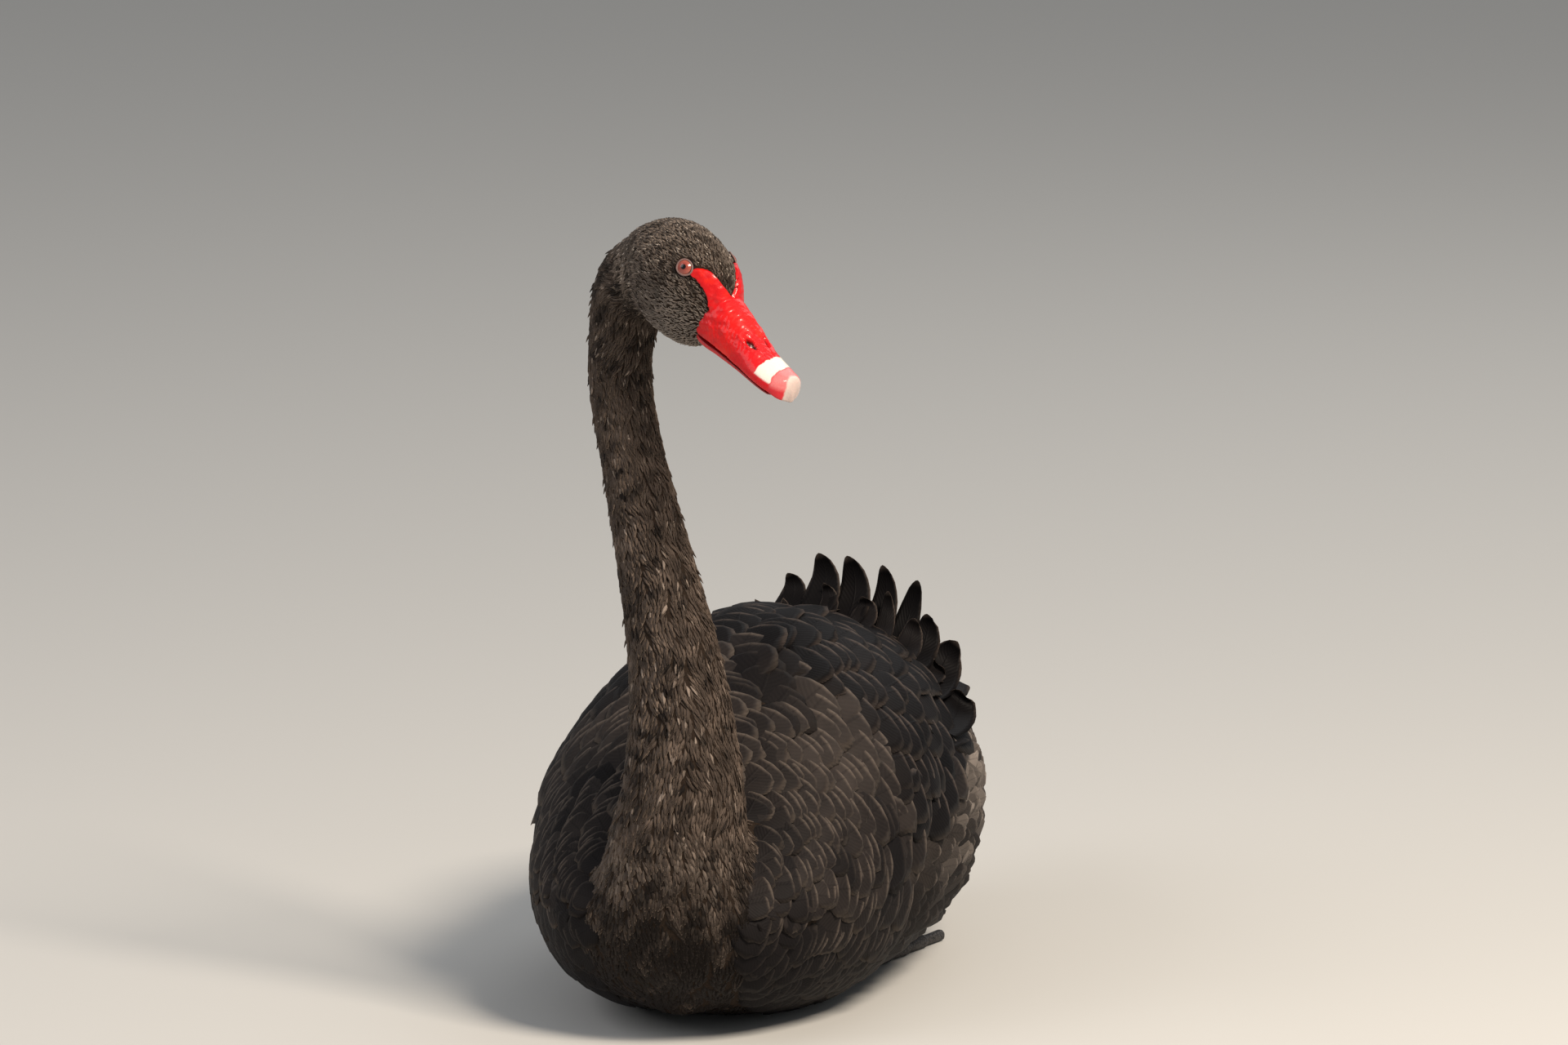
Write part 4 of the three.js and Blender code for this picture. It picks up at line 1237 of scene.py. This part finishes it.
SMALL_PLUMES = {
    1: [
        (76, 12, (14.1, 118, 226.6), 12, 2), (78, 30, (53.4, 128, 221.3), 12, -3),
        (76, 38, (71.9, 124, 205.7), 17, -3), (80, 22, (38, 122, 218.5), 17, 4),
        (70, 46, (92, 118, 176.5), 20, -5), (46, 64, (101, 92, 139), 20, -3),
    ],
    -1: [
        (66, 8, (-15, 108, 214), 15, 4), (70, 26, (-50, 112, 196), 16, 2), (66, 45, (-84, 106, 176), 18, 3),
    ],
}
# Each row behind the tall plumes: place along the body, count, first and last angle, reach, rise and width.
PLUME_BACK_ROWS = [
    (128, 5, 8, 52, 48, 14, 27), (150, 6, 4, 50, 50, 11, 26),
    (172, 6, 2, 46, 52, 8, 25), (192, 6, 2, 44, 50, 6, 22),
]
horn_outline = profile([
    [0, 0.8], [0.25, 1], [0.5, 0.97], [0.74, 0.74], [0.89, 0.52], [0.96, 0.32], [1, 0.1],
])


def curve4(corners, share):
    """Points on a smooth curve between the first and last of four corners."""
    t = share[:, None]
    a, b, c, d = corners
    return (1 - t) ** 3 * a + 3 * t * (1 - t) ** 2 * b + 3 * t * t * (1 - t) * c + t ** 3 * d


def vane_out(line, across):
    """The way out of a vane that stands free, at each row, from the way across it."""
    along = unit(np.gradient(line, axis=0))
    return np.cross(unit(across - along * (along @ across)[:, None]), along)


def plume_line(side, y, a, tip, lean):
    """One tertial's midline and its way out at each row."""
    round_angle = side * math.radians(a)
    root = body_point(along_body(y), round_angle, -3.0)
    heel = body_point(along_body(tip[1] - 8), round_angle, 2.0)
    rise = heel + (tip - heel) * 0.55 + np.array([lean, 13, 0])
    line = curve4((root, heel, rise, tip), LONG_FEATHER["share"])
    return line, vane_out(line, np.array([math.cos(round_angle * 0.6), 0, -math.sin(round_angle * 0.6)]))


# %% Make the tertials


def make_tertials(side_name, side):
    """Each vane is a midline, its ways out, a width and a tone: the small ones are paler than the tall."""
    rng = np.random.default_rng(51 + side)
    vanes = []
    for plumes, wider, dark, vary in ((PLUMES, 1.15, 0.1, 0.2), (SMALL_PLUMES, 1.0, 0.6, 0.4)):
        for y, a, tip, width, lean in plumes[side]:
            line, out = plume_line(side, y, a, np.array(tip, float), lean)
            vanes.append((line, out, width * wider, dark + vary * rng.random()))
    for y, count, start, stop, reach_mm, rise, width in PLUME_BACK_ROWS:
        for a in [start + (stop - start) * i / (count - 1) for i in range(count)]:
            tip_y = y + reach_mm * (0.85 + 0.6 * rng.random())
            tip = body_point(along_body(tip_y), side * math.radians(a), rise)
            line, out = plume_line(side, y, a, tip, 2 * side)
            vanes.append((line, out, width * 1.2, 0.3 + 0.3 * rng.random()))
    lines, outs, widths, tones = (np.array(column) for column in zip(*vanes))
    points = spread(LONG_FEATHER, lines, outs, widths, 1.0, horn_outline, -0.2, 0.05 * side, 0.05, rng)
    bake = np.stack([np.linspace(0.1, 0.9, len(vanes)), np.full(len(vanes), 0.5 + 0.2 * side)], axis=1)
    join_feathers("wing_" + side_name + "_tertials", LONG_FEATHER, points, bake,
                  tones, np.zeros(len(vanes)), WING_FINISH, "wing_feathers")


for side_name, side in SIDES:
    make_tertials(side_name, side)

# %% [markdown]
# ## Primaries and tail
# The long outer flight feathers are white. On the folded wing they are nearly hidden under the tertials,
# and only their ends show above the tail. The tail is a short dark fan in four tiers.

# %% Primaries
# Each is its root's angle from the back in degrees and its tip's place.
PRIMARIES = [(10, 5, 300, 169), (18, 12, 291, 167), (25, 19, 279, 164), (32, 26, 265, 160)]
PRIMARY_ROOT_Y = 172
PRIMARY_WIDTH = 20.0
pointed_outline = profile([[0, 0.6], [0.4, 1], [0.65, 0.92], [0.82, 0.66], [0.93, 0.36], [1, 0.1]])


def arc(root, middle, tip):
    """Points on a shallow curve from root to tip that leans towards a middle."""
    t = LONG_FEATHER["share"][:, None]
    return (1 - t) ** 2 * root + 2 * t * (1 - t) * middle + t * t * tip


def make_primaries(side_name, side):
    """The white quills of one wing, laid side by side along the rump."""
    rng = np.random.default_rng(61 + side)
    lines, outs = [], []
    for degrees, x, tip_y, tip_z in PRIMARIES:
        angle = math.radians(degrees)
        root = body_point(along_body(PRIMARY_ROOT_Y), side * angle, -2.0)
        tip = np.array([side * x, tip_y, tip_z], float)
        lines.append(arc(root, (root + tip) / 2 + np.array([0, 0, 8.0]), tip))
        outs.append(vane_out(lines[-1], np.array([math.cos(angle), 0, -side * math.sin(angle)])))
    count = len(lines)
    points = spread(LONG_FEATHER, np.array(lines), np.array(outs), np.full(count, PRIMARY_WIDTH), 0.8,
                    pointed_outline, 0.12, 0.12 * side, 0.05, rng)
    bake = np.stack([np.linspace(0.2, 0.8, count), np.full(count, 0.5)], axis=1)
    join_feathers("wing_" + side_name + "_primaries", LONG_FEATHER, points, bake,
                  rng.random(count), np.zeros(count), PRIMARY_FINISH, "wing_feathers")


for side_name, side in SIDES:
    make_primaries(side_name, side)

# %% Tail
TAIL_ROOT_Y = 250.0
TAIL_ROOT_Z = 136.0
TAIL_RISE = 0.2
TAIL_HALF_WIDTH = 17
TAIL_SUNK = 8
TAIL_TIERS = [(13, 29, 90, 23, 0.0), (10, 23, 74, 22, 4.5), (8, 18, 58, 22, 8.5), (9, 24, 52, 22, -6.0)]


def make_tail():
    """Tiers of vanes in a fan: each has a count, half the fan's angle, a length, a width and a height."""
    rng = np.random.default_rng(71)
    lines, outs, widths = [], [], []
    for count, fan, length, width, z in TAIL_TIERS:
        for i in range(count):
            place = i / (count - 1) * 2 - 1
            angle = math.radians(place * fan)
            reach_mm = (length - TAIL_SUNK) * (1 - 0.2 * place * place - 0.1 * rng.random())
            low = abs(place) * 4.2 - 1.6 * rng.random()
            root = np.array([place * TAIL_HALF_WIDTH, TAIL_ROOT_Y + TAIL_SUNK, TAIL_ROOT_Z + z - low])
            way = np.array([math.sin(angle), math.cos(angle), TAIL_RISE + 0.07 * (rng.random() - 0.5)])
            tip = root + way * reach_mm
            lines.append(arc(root, (root + tip) / 2 - np.array([0, 0, 2.0]), tip))
            outs.append(vane_out(lines[-1], np.array([math.cos(angle), -math.sin(angle), -place * 0.12])))
            widths.append(width)
    count = len(lines)
    points = spread(LONG_FEATHER, np.array(lines), np.array(outs), np.array(widths, float), 0.8,
                    pointed_outline, 0.1, 0.08, 0.08, rng)
    bake = np.stack([np.linspace(0.05, 0.95, count), np.full(count, 0.5)], axis=1)
    join_feathers("tail_feathers", LONG_FEATHER, points, bake,
                  0.2 + 0.4 * rng.random(count), np.zeros(count), WING_FINISH, "wing_feathers", "tail")


make_tail()

# %% Tail coverts


def make_tail_coverts():
    """Small feathers over the stump, so that the tail grows out of the rump."""
    rng = np.random.default_rng(72)
    place, angle, roots, ways, _ = tract(stump_skin, 0.9, 2.4, even(8.0), even(9.0), rng)
    place, angle, roots, ways = kept(near_skin(roots, 4.0), place, angle, roots, ways)
    ways = unit(ways * 0.4 + np.array([0, 1.0, 0.1]))
    size = 28 + 8 * rng.random(len(roots))
    line, out = walk(roots, ways, size, BROAD_FEATHER["share"], lambda s: np.full(len(size), 0.5 + 3.0 * s))
    points = spread(BROAD_FEATHER, line, out, size * 0.6, 0.7, round_outline, 0.15, 0.0, 0.15, rng)
    join_feathers("tail_covert_feathers", BROAD_FEATHER, points, bake_places(angle, place / math.pi),
                  rng.random(len(size)), np.zeros(len(size)), BODY_FINISH, "body_feathers")


make_tail_coverts()

# %% [markdown]
# ## Bill
# The bill is bare, waxy keratin and skin: red, with a white band near the end and a cream nail at the
# tip. Its upper half and the bare skin up to the eyes are one piece, so the bill's wedge and a slice of
# the head's form are melted together by a voxel remesh. The nostril is a slit with a raised rim, pressed
# into the mesh.

# %% Bill shapes
bill_top = profile([
    [-92, 21], [-76, 23], [-67, 22.8], [-55, 19.5], [-41, 13], [-27, 8.5], [-15, 7], [-5, 7], [0, 4],
])
bill_width = profile([
    [-92, 8], [-82, 11.5], [-75, 14.8], [-68, 15.2], [-60, 14], [-40, 13.5], [-20, 14.2], [-9, 12.5],
    [-3, 8.5], [0, 4],
])
lower_depth = profile([
    [-92, -9.5], [-70, -9.4], [-55, -8.8], [-40, -7.8], [-22, -6.8], [-10, -6.2], [-5, -5.6],
])
BILL_BACK_F = -92.0
LOWER_BACK_F = -84.0
LOWER_TIP_F = -6.0
MOUTH_GAP = -0.2
BILL_VOXEL_MM = 0.6
NOSTRIL = {"f": -38.5, "u": 11.2, "length": 11.0, "height": 2.1, "slant": -0.19}
NOSTRIL_DEPTH = 3.2
LORE_RAISE = 0.7


def bill_form(back_f, tip_f, top, bottom, half_width, widest, around, along, nose):
    """A closed wedge between two lines, widest at a share of its height and rounded at its nose."""
    def place(polar, angle):
        share = polar / math.pi
        f = tip_f + (back_f - tip_f) * share ** 1.6
        end = np.clip((f - (tip_f - nose)) / nose, 0, 1)
        round_off = np.where(share > 0.999, 0, np.sqrt(1 - end ** 2))
        cosine = np.cos(angle)
        wide = np.sign(np.sin(angle)) * np.abs(np.sin(angle)) ** 0.8
        high = bottom(f) + (top(f) - bottom(f)) * widest
        above = (top(f) - high) * np.abs(cosine) ** 0.8
        below = (bottom(f) - high) * np.abs(cosine) ** 0.5
        u = high + np.where(cosine > 0, above, below) * round_off
        return head_point(f, u, wide * half_width(f) * round_off)
    return shaped_sphere(around, along, place)


def pushed_block(outline, push):
    """A flat outline in the bird's millimetres, pushed through space to a closed block."""
    bm = bmesh.new()
    face = bm.faces.new([bm.verts.new(spot) for spot in world(outline)])
    pushed = bmesh.ops.extrude_face_region(bm, geom=[face])
    moved = [v for v in pushed["geom"] if isinstance(v, bmesh.types.BMVert)]
    bmesh.ops.translate(bm, verts=moved, vec=Vector(push * MM))
    bmesh.ops.recalc_face_normals(bm, faces=bm.faces)
    return bm


def lore_block():
    """The bare skin's outline, pushed through the head from side to side."""
    f, u = lore_outline(0).T
    return pushed_block(head_point(f, u, np.full(len(f), -35.0)), RIGHT * 70)


def forehead_block():
    """A wedge that cuts the feathers' tongue out of the bare skin."""
    height = 30.0
    corners = [(0, 0), (height, FOREHEAD_SPREAD * height), (height, -FOREHEAD_SPREAD * height)]
    spots = np.array([(FOREHEAD_FRONT_F - 60, FOREHEAD_TIP_U + u, r) for u, r in corners])
    return pushed_block(head_point(*spots.T), FORWARD * 60)


def cut(made, block, operation):
    """Applies a boolean with a block, and removes the block."""
    tool = to_object("block", [block])
    step = made.modifiers.new("cut", "BOOLEAN")
    step.operation = operation
    step.solver = "EXACT"
    step.object = tool
    settle(made)
    bpy.data.objects.remove(tool)
    return made


# %% Nostrils and the texture of the bill


def press_nostrils(local):
    """How far each point of the upper bill moves out, for a slit with a swollen rim on each side."""
    f = local[:, 0] - NOSTRIL["f"]
    u = local[:, 1] - NOSTRIL["u"] - NOSTRIL["slant"] * f
    reach_mm = np.sqrt((f / (NOSTRIL["length"] / 2)) ** 2 + (u / (NOSTRIL["height"] / 2)) ** 2)
    facing = np.abs(local[:, 2]) > 4
    slit = -NOSTRIL_DEPTH * (1 - smooth(reach_mm, 0.45, 1.05))
    rim = 0.55 * np.exp(-((reach_mm - 1.75) / 0.5) ** 2)
    return np.where(facing, slit + rim, 0.0)


def bill_texture(local):
    """The low dents and wrinkles of the bill's skin, in millimetres."""
    base = smooth(-local[:, 0], 30, 60)
    wrinkled = np.exp(-((local[:, 0] + 40) / 15) ** 2) * smooth(local[:, 1], 2, 8)
    low = 0.16 * ripple(local, 8.5, 81) * (0.3 + base)
    return low + 0.08 * ripple(local, 3.2, 82) * (0.2 + base) + 0.13 * ripple(local, 2.4, 83) * wrinkled


def mark_places(made):
    """Keeps each point's forward, up and right in the head's frame, for the bill's colours."""
    store(made.data, "head_place", head_place(get_points(made) / MM + ORIGIN))


# %% The two halves of the bill


def make_upper_bill(material):
    """The upper half with the bare skin up to the eyes, less the tongue of feathers on the forehead."""
    lores = to_object("lores", [shaped_sphere(96, 72, lambda p, a: skull_point(np.cos(p), a, LORE_RAISE))])
    cut(lores, lore_block(), "INTERSECT")
    wedge = bill_form(
        BILL_BACK_F, 1.0, bill_top, lambda f: np.where(f > -9, MOUTH_U - (f + 9) * 0.35, MOUTH_U),
        bill_width, 0.14, 64, 96, 6.0)
    lore_bm = bmesh.new()
    lore_bm.from_mesh(lores.data)
    bpy.data.objects.remove(lores)
    upper = remesh(to_object("bill_upper_skin", [wedge, lore_bm]), BILL_VOXEL_MM, 4)
    cut(upper, forehead_block(), "DIFFERENCE")
    points = get_points(upper)
    normals = read_vectors(upper.data.vertex_normals, "vector")
    local = head_place(points / MM + ORIGIN)
    move = press_nostrils(local) + bill_texture(local)
    set_points(upper, points + normals * (move * MM)[:, None], 0.0)
    mark_places(upper)
    # The pit mask also carries painted shade: the finish paints the nostril's slit dark.
    store(upper.data, "pit", np.clip(-press_nostrils(local) / NOSTRIL_DEPTH, 0, 1))
    upper.data.materials.append(material)
    return upper


def make_lower_bill(material):
    """The lower half: a shallow wedge under the mouth line."""
    lower = to_object("bill_lower_skin", [bill_form(
        LOWER_BACK_F, LOWER_TIP_F, lambda f: np.full(f.shape, MOUTH_U - MOUTH_GAP), lower_depth,
        lambda f: bill_width(f - 2) - 1.0, 0.8, 48, 72, 4.0)])
    lower.data.shade_smooth()
    mark_places(lower)
    lower.data.materials.append(material)
    return lower


# %% [markdown]
# The red is living skin over keratin, with a thin wet gloss, so the shader has some subsurface light and
# a clear coat. Its colours follow the place on the bill: deeper red at the base, a brighter orange-red in
# the middle that is partly the bill's own colour and partly painted highlight, a cooler pink past the white
# band, and the cream nail, which has the shape of a shield. The nostril's pit is painted dark as shade.

# %% Bill material
BAND_BACK_F = -25.5
BAND_FRONT_F = -15.0
NAIL_F = -7.2
BAND_BACK_TILT = 0.18
BAND_FRONT_TILT = 0.3
NAIL_TILT = 0.42
# The brightest, most orange point, near f = -50 in the middle of the bill, is partly the bill's own
# orange-red and partly painted highlight.
BILL_REDS = [(0.0, "#c00812"), (0.35, "#d6060c"), (0.62, "#e80c06"), (0.8, "#d80810"), (1.0, "#d80c16")]


def bill_material():
    """Waxy red keratin, with a band and a nail set out by places in the head's own frame."""
    material, add, shader = new_material(
        "waxy_bill_keratin", Roughness=0.45, Specular_IOR_Level=0.25, Coat_Weight=0.35, Coat_Roughness=0.08,
        Subsurface_Weight=0.04, Subsurface_Radius=(0.004, 0.001, 0.0006), Subsurface_Scale=0.6)
    own = add(HEAD_PLACE).outputs["Vector"]
    wobble = add(NOISE, own, Scale=0.25, Detail=3.0)
    blotch = add(NOISE, own, Scale=0.11, Detail=4.0)
    fine = add(NOISE, own, Scale=1.3, Detail=4.0)
    part = add(SPLIT, own)
    f = add(ADD, part.outputs[0], add(MULTIPLY, add(SUBTRACT, wobble, 0.5), 3.0))
    u = part.outputs[1]
    r = part.outputs[2]
    red = add(COLOUR_RAMP, add(EASE, f, -100, -20))
    points = red.color_ramp.elements
    while len(points) < len(BILL_REDS):
        points.new(0.5)
    for point, (where, code) in zip(points, BILL_REDS):
        point.position = where
        point.color = linear(code)
    red = add(BLEND, add(EASE, blotch, 0.52, 0.72, 0.0, 0.6), red, "#f0220a")
    red = add(BLEND, add(EASE, blotch, 0.46, 0.3, 0.0, 0.5), red, "#a80410")
    bow = add(MULTIPLY, add(MULTIPLY, r, r), 0.04)
    behind = add(SUBTRACT, f, add(MULTIPLY, r, BAND_BACK_TILT))
    ahead = add(SUBTRACT, f, add(MULTIPLY, r, BAND_FRONT_TILT))
    ahead = add(SUBTRACT, ahead, add(MULTIPLY, bow, 0.15))
    pink = add(BLEND, fine, "#de6468", "#e68a88")
    pink = add(BLEND, add(EASE, u, MOUTH_U + 3.0, MOUTH_U + 7.0), "#d8202e", pink)
    colour = add(BLEND, add(EASE, ahead, BAND_FRONT_F - 0.5, BAND_FRONT_F + 1.5), red, pink)
    band = add(MULTIPLY, add(EASE, behind, BAND_BACK_F - 0.4, BAND_BACK_F + 0.4),
               add(EASE, ahead, BAND_FRONT_F + 0.4, BAND_FRONT_F - 0.4))
    band = add(MULTIPLY, band, add(EASE, u, MOUTH_U + 5.2, MOUTH_U + 6.6))
    colour = add(BLEND, band, colour, add(BLEND, fine, "#e6dccf", "#f2ebe0"))
    shield = add(SUBTRACT, f, add(MULTIPLY, r, NAIL_TILT))
    shield = add(SUBTRACT, shield, add(MULTIPLY, bow, 2.0))
    horn = add(BLEND, add(EASE, shield, NAIL_F, NAIL_F + 8), "#e0cec6", "#b09c94")
    horn = add(BLEND, fine, horn, "#d8c0b6")
    colour = add(BLEND, add(EASE, shield, NAIL_F - 0.8, NAIL_F + 1.4), colour, horn)
    # Painted shade: the nostril's pit is painted dark brown-red, for the shade inside the slit.
    colour = add(BLEND, add(EASE, add(PIT).outputs["Fac"], 0.2, 0.9), colour, "#4a0c0c")
    fill(shader, Base_Color=colour, Normal=add(BUMP, Strength=0.35, Distance=0.0005, Height=fine))
    return material


def lower_material():
    """The lower half: red, with painted shade along its top edge, under the upper half's overhang."""
    material, add, shader = new_material(
        "waxy_lower_bill_keratin", Roughness=0.35, Coat_Weight=0.4, Coat_Roughness=0.15,
        Subsurface_Weight=0.1)
    own = add(HEAD_PLACE).outputs["Vector"]
    red = add(BLEND, add(NOISE, own, Scale=0.2, Detail=4.0), "#b80c14", "#d8161c")
    # Painted shade: edge darkens the strip just under the mouth line, where the upper half overhangs it.
    edge = add(EASE, add(SPLIT, own).outputs[1], MOUTH_U - 1.2, MOUTH_U - 0.3)
    fill(shader, Base_Color=add(BLEND, edge, red, "#6a1014"))
    return material


upper_bill = make_upper_bill(bill_material())
lower_bill = make_lower_bill(lower_material())
attach(upper_bill, "bill", "bill_upper")
attach(lower_bill, "bill", "bill_lower")

# %% [markdown]
# ## Eyes and lids
# The eye is a ball with a bulging clear front over a coral iris and a small pupil. Its colours are rings
# round the way that it looks, kept as a distance in millimetres on each point. Bare, pinkish-grey lids
# frame it.

# %% Eyes
EYE_RADIUS = 6.9
EYE_PROUD = 1.6
PUPIL_MM = 1.6
IRIS_MM = 4.7
CORNEA_MM = 5.0
CORNEA_RISE = 0.6
LID_THICKNESS = 0.6
LID_PROUD = 0.15
LID_PINCH = 0.06


def make_eye(name, seat, material):
    """A ball whose front bulges, with each point's distance from its axis kept for the rings."""
    spot, out = seat
    bm = bmesh.new()
    bmesh.ops.create_uvsphere(bm, u_segments=48, v_segments=40, radius=EYE_RADIUS * MM)
    off = np.array([math.hypot(v.co.x, v.co.y) / MM if v.co.z > 0 else EYE_RADIUS + 1 for v in bm.verts])
    for v, ring in zip(bm.verts, off):
        bulge = CORNEA_RISE * max(0.0, 1 - (ring / CORNEA_MM) ** 2) ** 1.5
        v.co.z += bulge * MM
    centre = world(spot + out * (EYE_PROUD - EYE_RADIUS))
    bmesh.ops.transform(bm, matrix=stand(centre, out), verts=bm.verts)
    made = to_object(name, [bm])
    made.data.shade_smooth()
    store(made.data, "ring", off)
    made.data.materials.append(material)
    return made


# %% Lids


def make_lid(name, seat, material):
    """A ring of bare skin, a little pinched towards the bill, spun from a small circle."""
    spot, out = seat
    bm = bmesh.new()
    bmesh.ops.create_circle(bm, segments=14, radius=LID_THICKNESS * MM)
    bmesh.ops.rotate(bm, verts=bm.verts, cent=(0, 0, 0), matrix=Matrix.Rotation(math.pi / 2, 3, "X"))
    bmesh.ops.translate(bm, verts=bm.verts, vec=(LID_RADIUS * MM, 0, 0))
    bmesh.ops.spin(bm, geom=bm.verts[:] + bm.edges[:], cent=(0, 0, 0), axis=(0, 0, 1), angle=2 * math.pi,
                   steps=64, use_merge=True)
    bmesh.ops.remove_doubles(bm, verts=bm.verts, dist=1e-6)
    ahead = unit(FORWARD - out * (FORWARD @ out))
    turn = Matrix((Vector(ahead), Vector(np.cross(out, ahead)), Vector(out))).transposed().to_4x4()
    seat_matrix = Matrix.Translation(world(spot + out * LID_PROUD)) @ turn
    for v in bm.verts:
        angle = math.atan2(v.co.y, v.co.x)
        v.co.x *= 1 + LID_PINCH * math.cos(angle) ** 3
        v.co.y *= 0.9
        v.co.z = v.co.z * 0.75 + 0.35 * MM * math.sin(5 * angle) * 0.3
    bmesh.ops.transform(bm, matrix=seat_matrix, verts=bm.verts)
    bmesh.ops.recalc_face_normals(bm, faces=bm.faces)
    made = to_object(name, [bm])
    made.data.shade_smooth()
    made.data.materials.append(material)
    return made


# %% Eye materials


def eye_material():
    """A wet cornea's gloss over a coral iris with fine darker rays."""
    material, add, shader = new_material(
        "wet_coral_eye", Roughness=0.2, Coat_Weight=0.6, Coat_Roughness=0.03, IOR=1.38)
    ring = add(RING).outputs["Fac"]
    rays = add(NOISE, add(PLACE).outputs["Object"], Scale=1500.0, Detail=2.0)
    iris = add(BLEND, add(EASE, ring, PUPIL_MM, IRIS_MM), "#924237", "#ad5a4a")
    iris = add(BLEND, add(MULTIPLY, rays, 0.35), iris, "#7a342b")
    colour = add(BLEND, add(EASE, ring, PUPIL_MM - 0.15, PUPIL_MM + 0.15), "#050303", iris)
    colour = add(BLEND, add(EASE, ring, IRIS_MM - 0.5, IRIS_MM - 0.1), colour, "#120807")
    fill(shader, Base_Color=colour)
    return material


coral = eye_material()
# Bare skin is rough, and a fine grain dulls what shine it has.
lid_skin = grained(
    "bare_eyelid_skin", lambda add, here: add(NOISE, here, Scale=1200.0, Detail=3.0),
    "#54403c", "#9a7871", 0.5, 0.0003, Roughness=0.6)
for side_name, seat in EYE_SEATS.items():
    attach(make_eye("eyeball_" + side_name, seat, coral), "eye", "eye_" + side_name)
    attach(make_lid("eyelid_" + side_name, seat, lid_skin), "head_feathers")

# %% [markdown]
# ## Feet
# The feet are folded back under the belly, black and scaly, with webs between three toes. Each starts as
# rods and a sheet that follow the solids, melted into one skin, and ends in small claws.

# %% Feet
FOOT_X = 66.0
HEEL_Y = 28.0
TOE_LENGTH = 112.0
TOE_SPREAD = math.radians(13)
TOE_THICK = 6.0
WEB_THICK = 3.0
WEB_NOTCH = 9
WEB_LOW = 0.6
TOE_JOINTS = 4
TOE_TAPER = 2.6
CLAW_LENGTH = 4.5
FOOT_VOXEL_MM = 1.3


def bar(start, stop, start_radius, stop_radius):
    """A round bar between two places, in the bird's millimetres."""
    bm = bmesh.new()
    bmesh.ops.create_cone(
        bm, cap_ends=True, segments=16, radius1=start_radius * MM, radius2=stop_radius * MM,
        depth=float(np.linalg.norm(stop - start)) * MM)
    bmesh.ops.transform(bm, matrix=stand(world((start + stop) / 2), stop - start), verts=bm.verts)
    return bm


def make_foot(side_name, side, material):
    """Three toes of four rods each and a web, melted into one skin, with a claw at each toe's end."""
    heel = np.array([side * FOOT_X, HEEL_Y, 6.0])
    forms = [bar(np.array([side * (FOOT_X - 10), HEEL_Y - 34, 20]), heel, 5.0, 5.6)]
    ends = []
    for toe in (-1, 0, 1):
        angle = toe * TOE_SPREAD
        length = TOE_LENGTH * (1 if toe == 0 else 0.93) - 4
        end = heel + np.array([math.sin(angle) * length, math.cos(angle) * length, -2.4])
        ends.append(end)
        for joint in range(TOE_JOINTS):
            a = heel + (end - heel) * joint / TOE_JOINTS
            b = heel + (end - heel) * (joint + 1) / TOE_JOINTS
            thick = TOE_THICK - TOE_TAPER * joint / TOE_JOINTS
            forms.append(bar(a, b, thick * 0.82, thick * 0.95))
    notch = np.array([0, WEB_NOTCH, 0])
    outer = [end * 0.97 + heel * 0.03 for end in ends]
    rim = np.array([
        heel, outer[0], (ends[0] + ends[1]) / 2 - notch, ends[1], (ends[1] + ends[2]) / 2 - notch, outer[2],
    ])
    rim[:, 2] = WEB_LOW
    web = pushed_block(rim, np.array([0, 0, WEB_THICK]))
    foot = remesh(to_object("foot_" + side_name + "_skin", forms + [web]), FOOT_VOXEL_MM, 4)
    set_points(foot, get_points(foot), 0.0)
    foot.data.materials.append(material)
    attach(foot, "foot_skin", "foot_" + side_name)
    claws = []
    for end in ends:
        ahead = unit(end - heel)
        claws.append(bar(end - ahead * 2, end + ahead * CLAW_LENGTH + np.array([0, 0, -1.0]), 1.7, 0.3))
    claw = to_object("claws_" + side_name, claws)
    claw.data.materials.append(claw_horn)
    attach(claw, "foot_skin")


# %% Finish and place the feet
# The claws are plain, smooth horn. The skin is horny scales about two millimetres across, with dark seams.
claw_horn = grained(
    "claw_horn", lambda add, here: add(NOISE, here, Scale=700.0, Detail=2.0),
    "#15100e", "#3b312c", 0.0, 0.0002, Roughness=0.35)
scaly = grained(
    "scaly_foot_skin", lambda add, here: add(EASE, add(CELL_EDGES, here, Scale=420.0), 0.0, 0.18),
    "#0b0a0a", "#3a3634", 0.7, 0.0006, Roughness=0.55)
for side_name, side in SIDES:
    make_foot(side_name, side, scaly)

# %% [markdown]
# ## Finish
# The view layer is updated once more at the end.


bpy.context.view_layer.update()
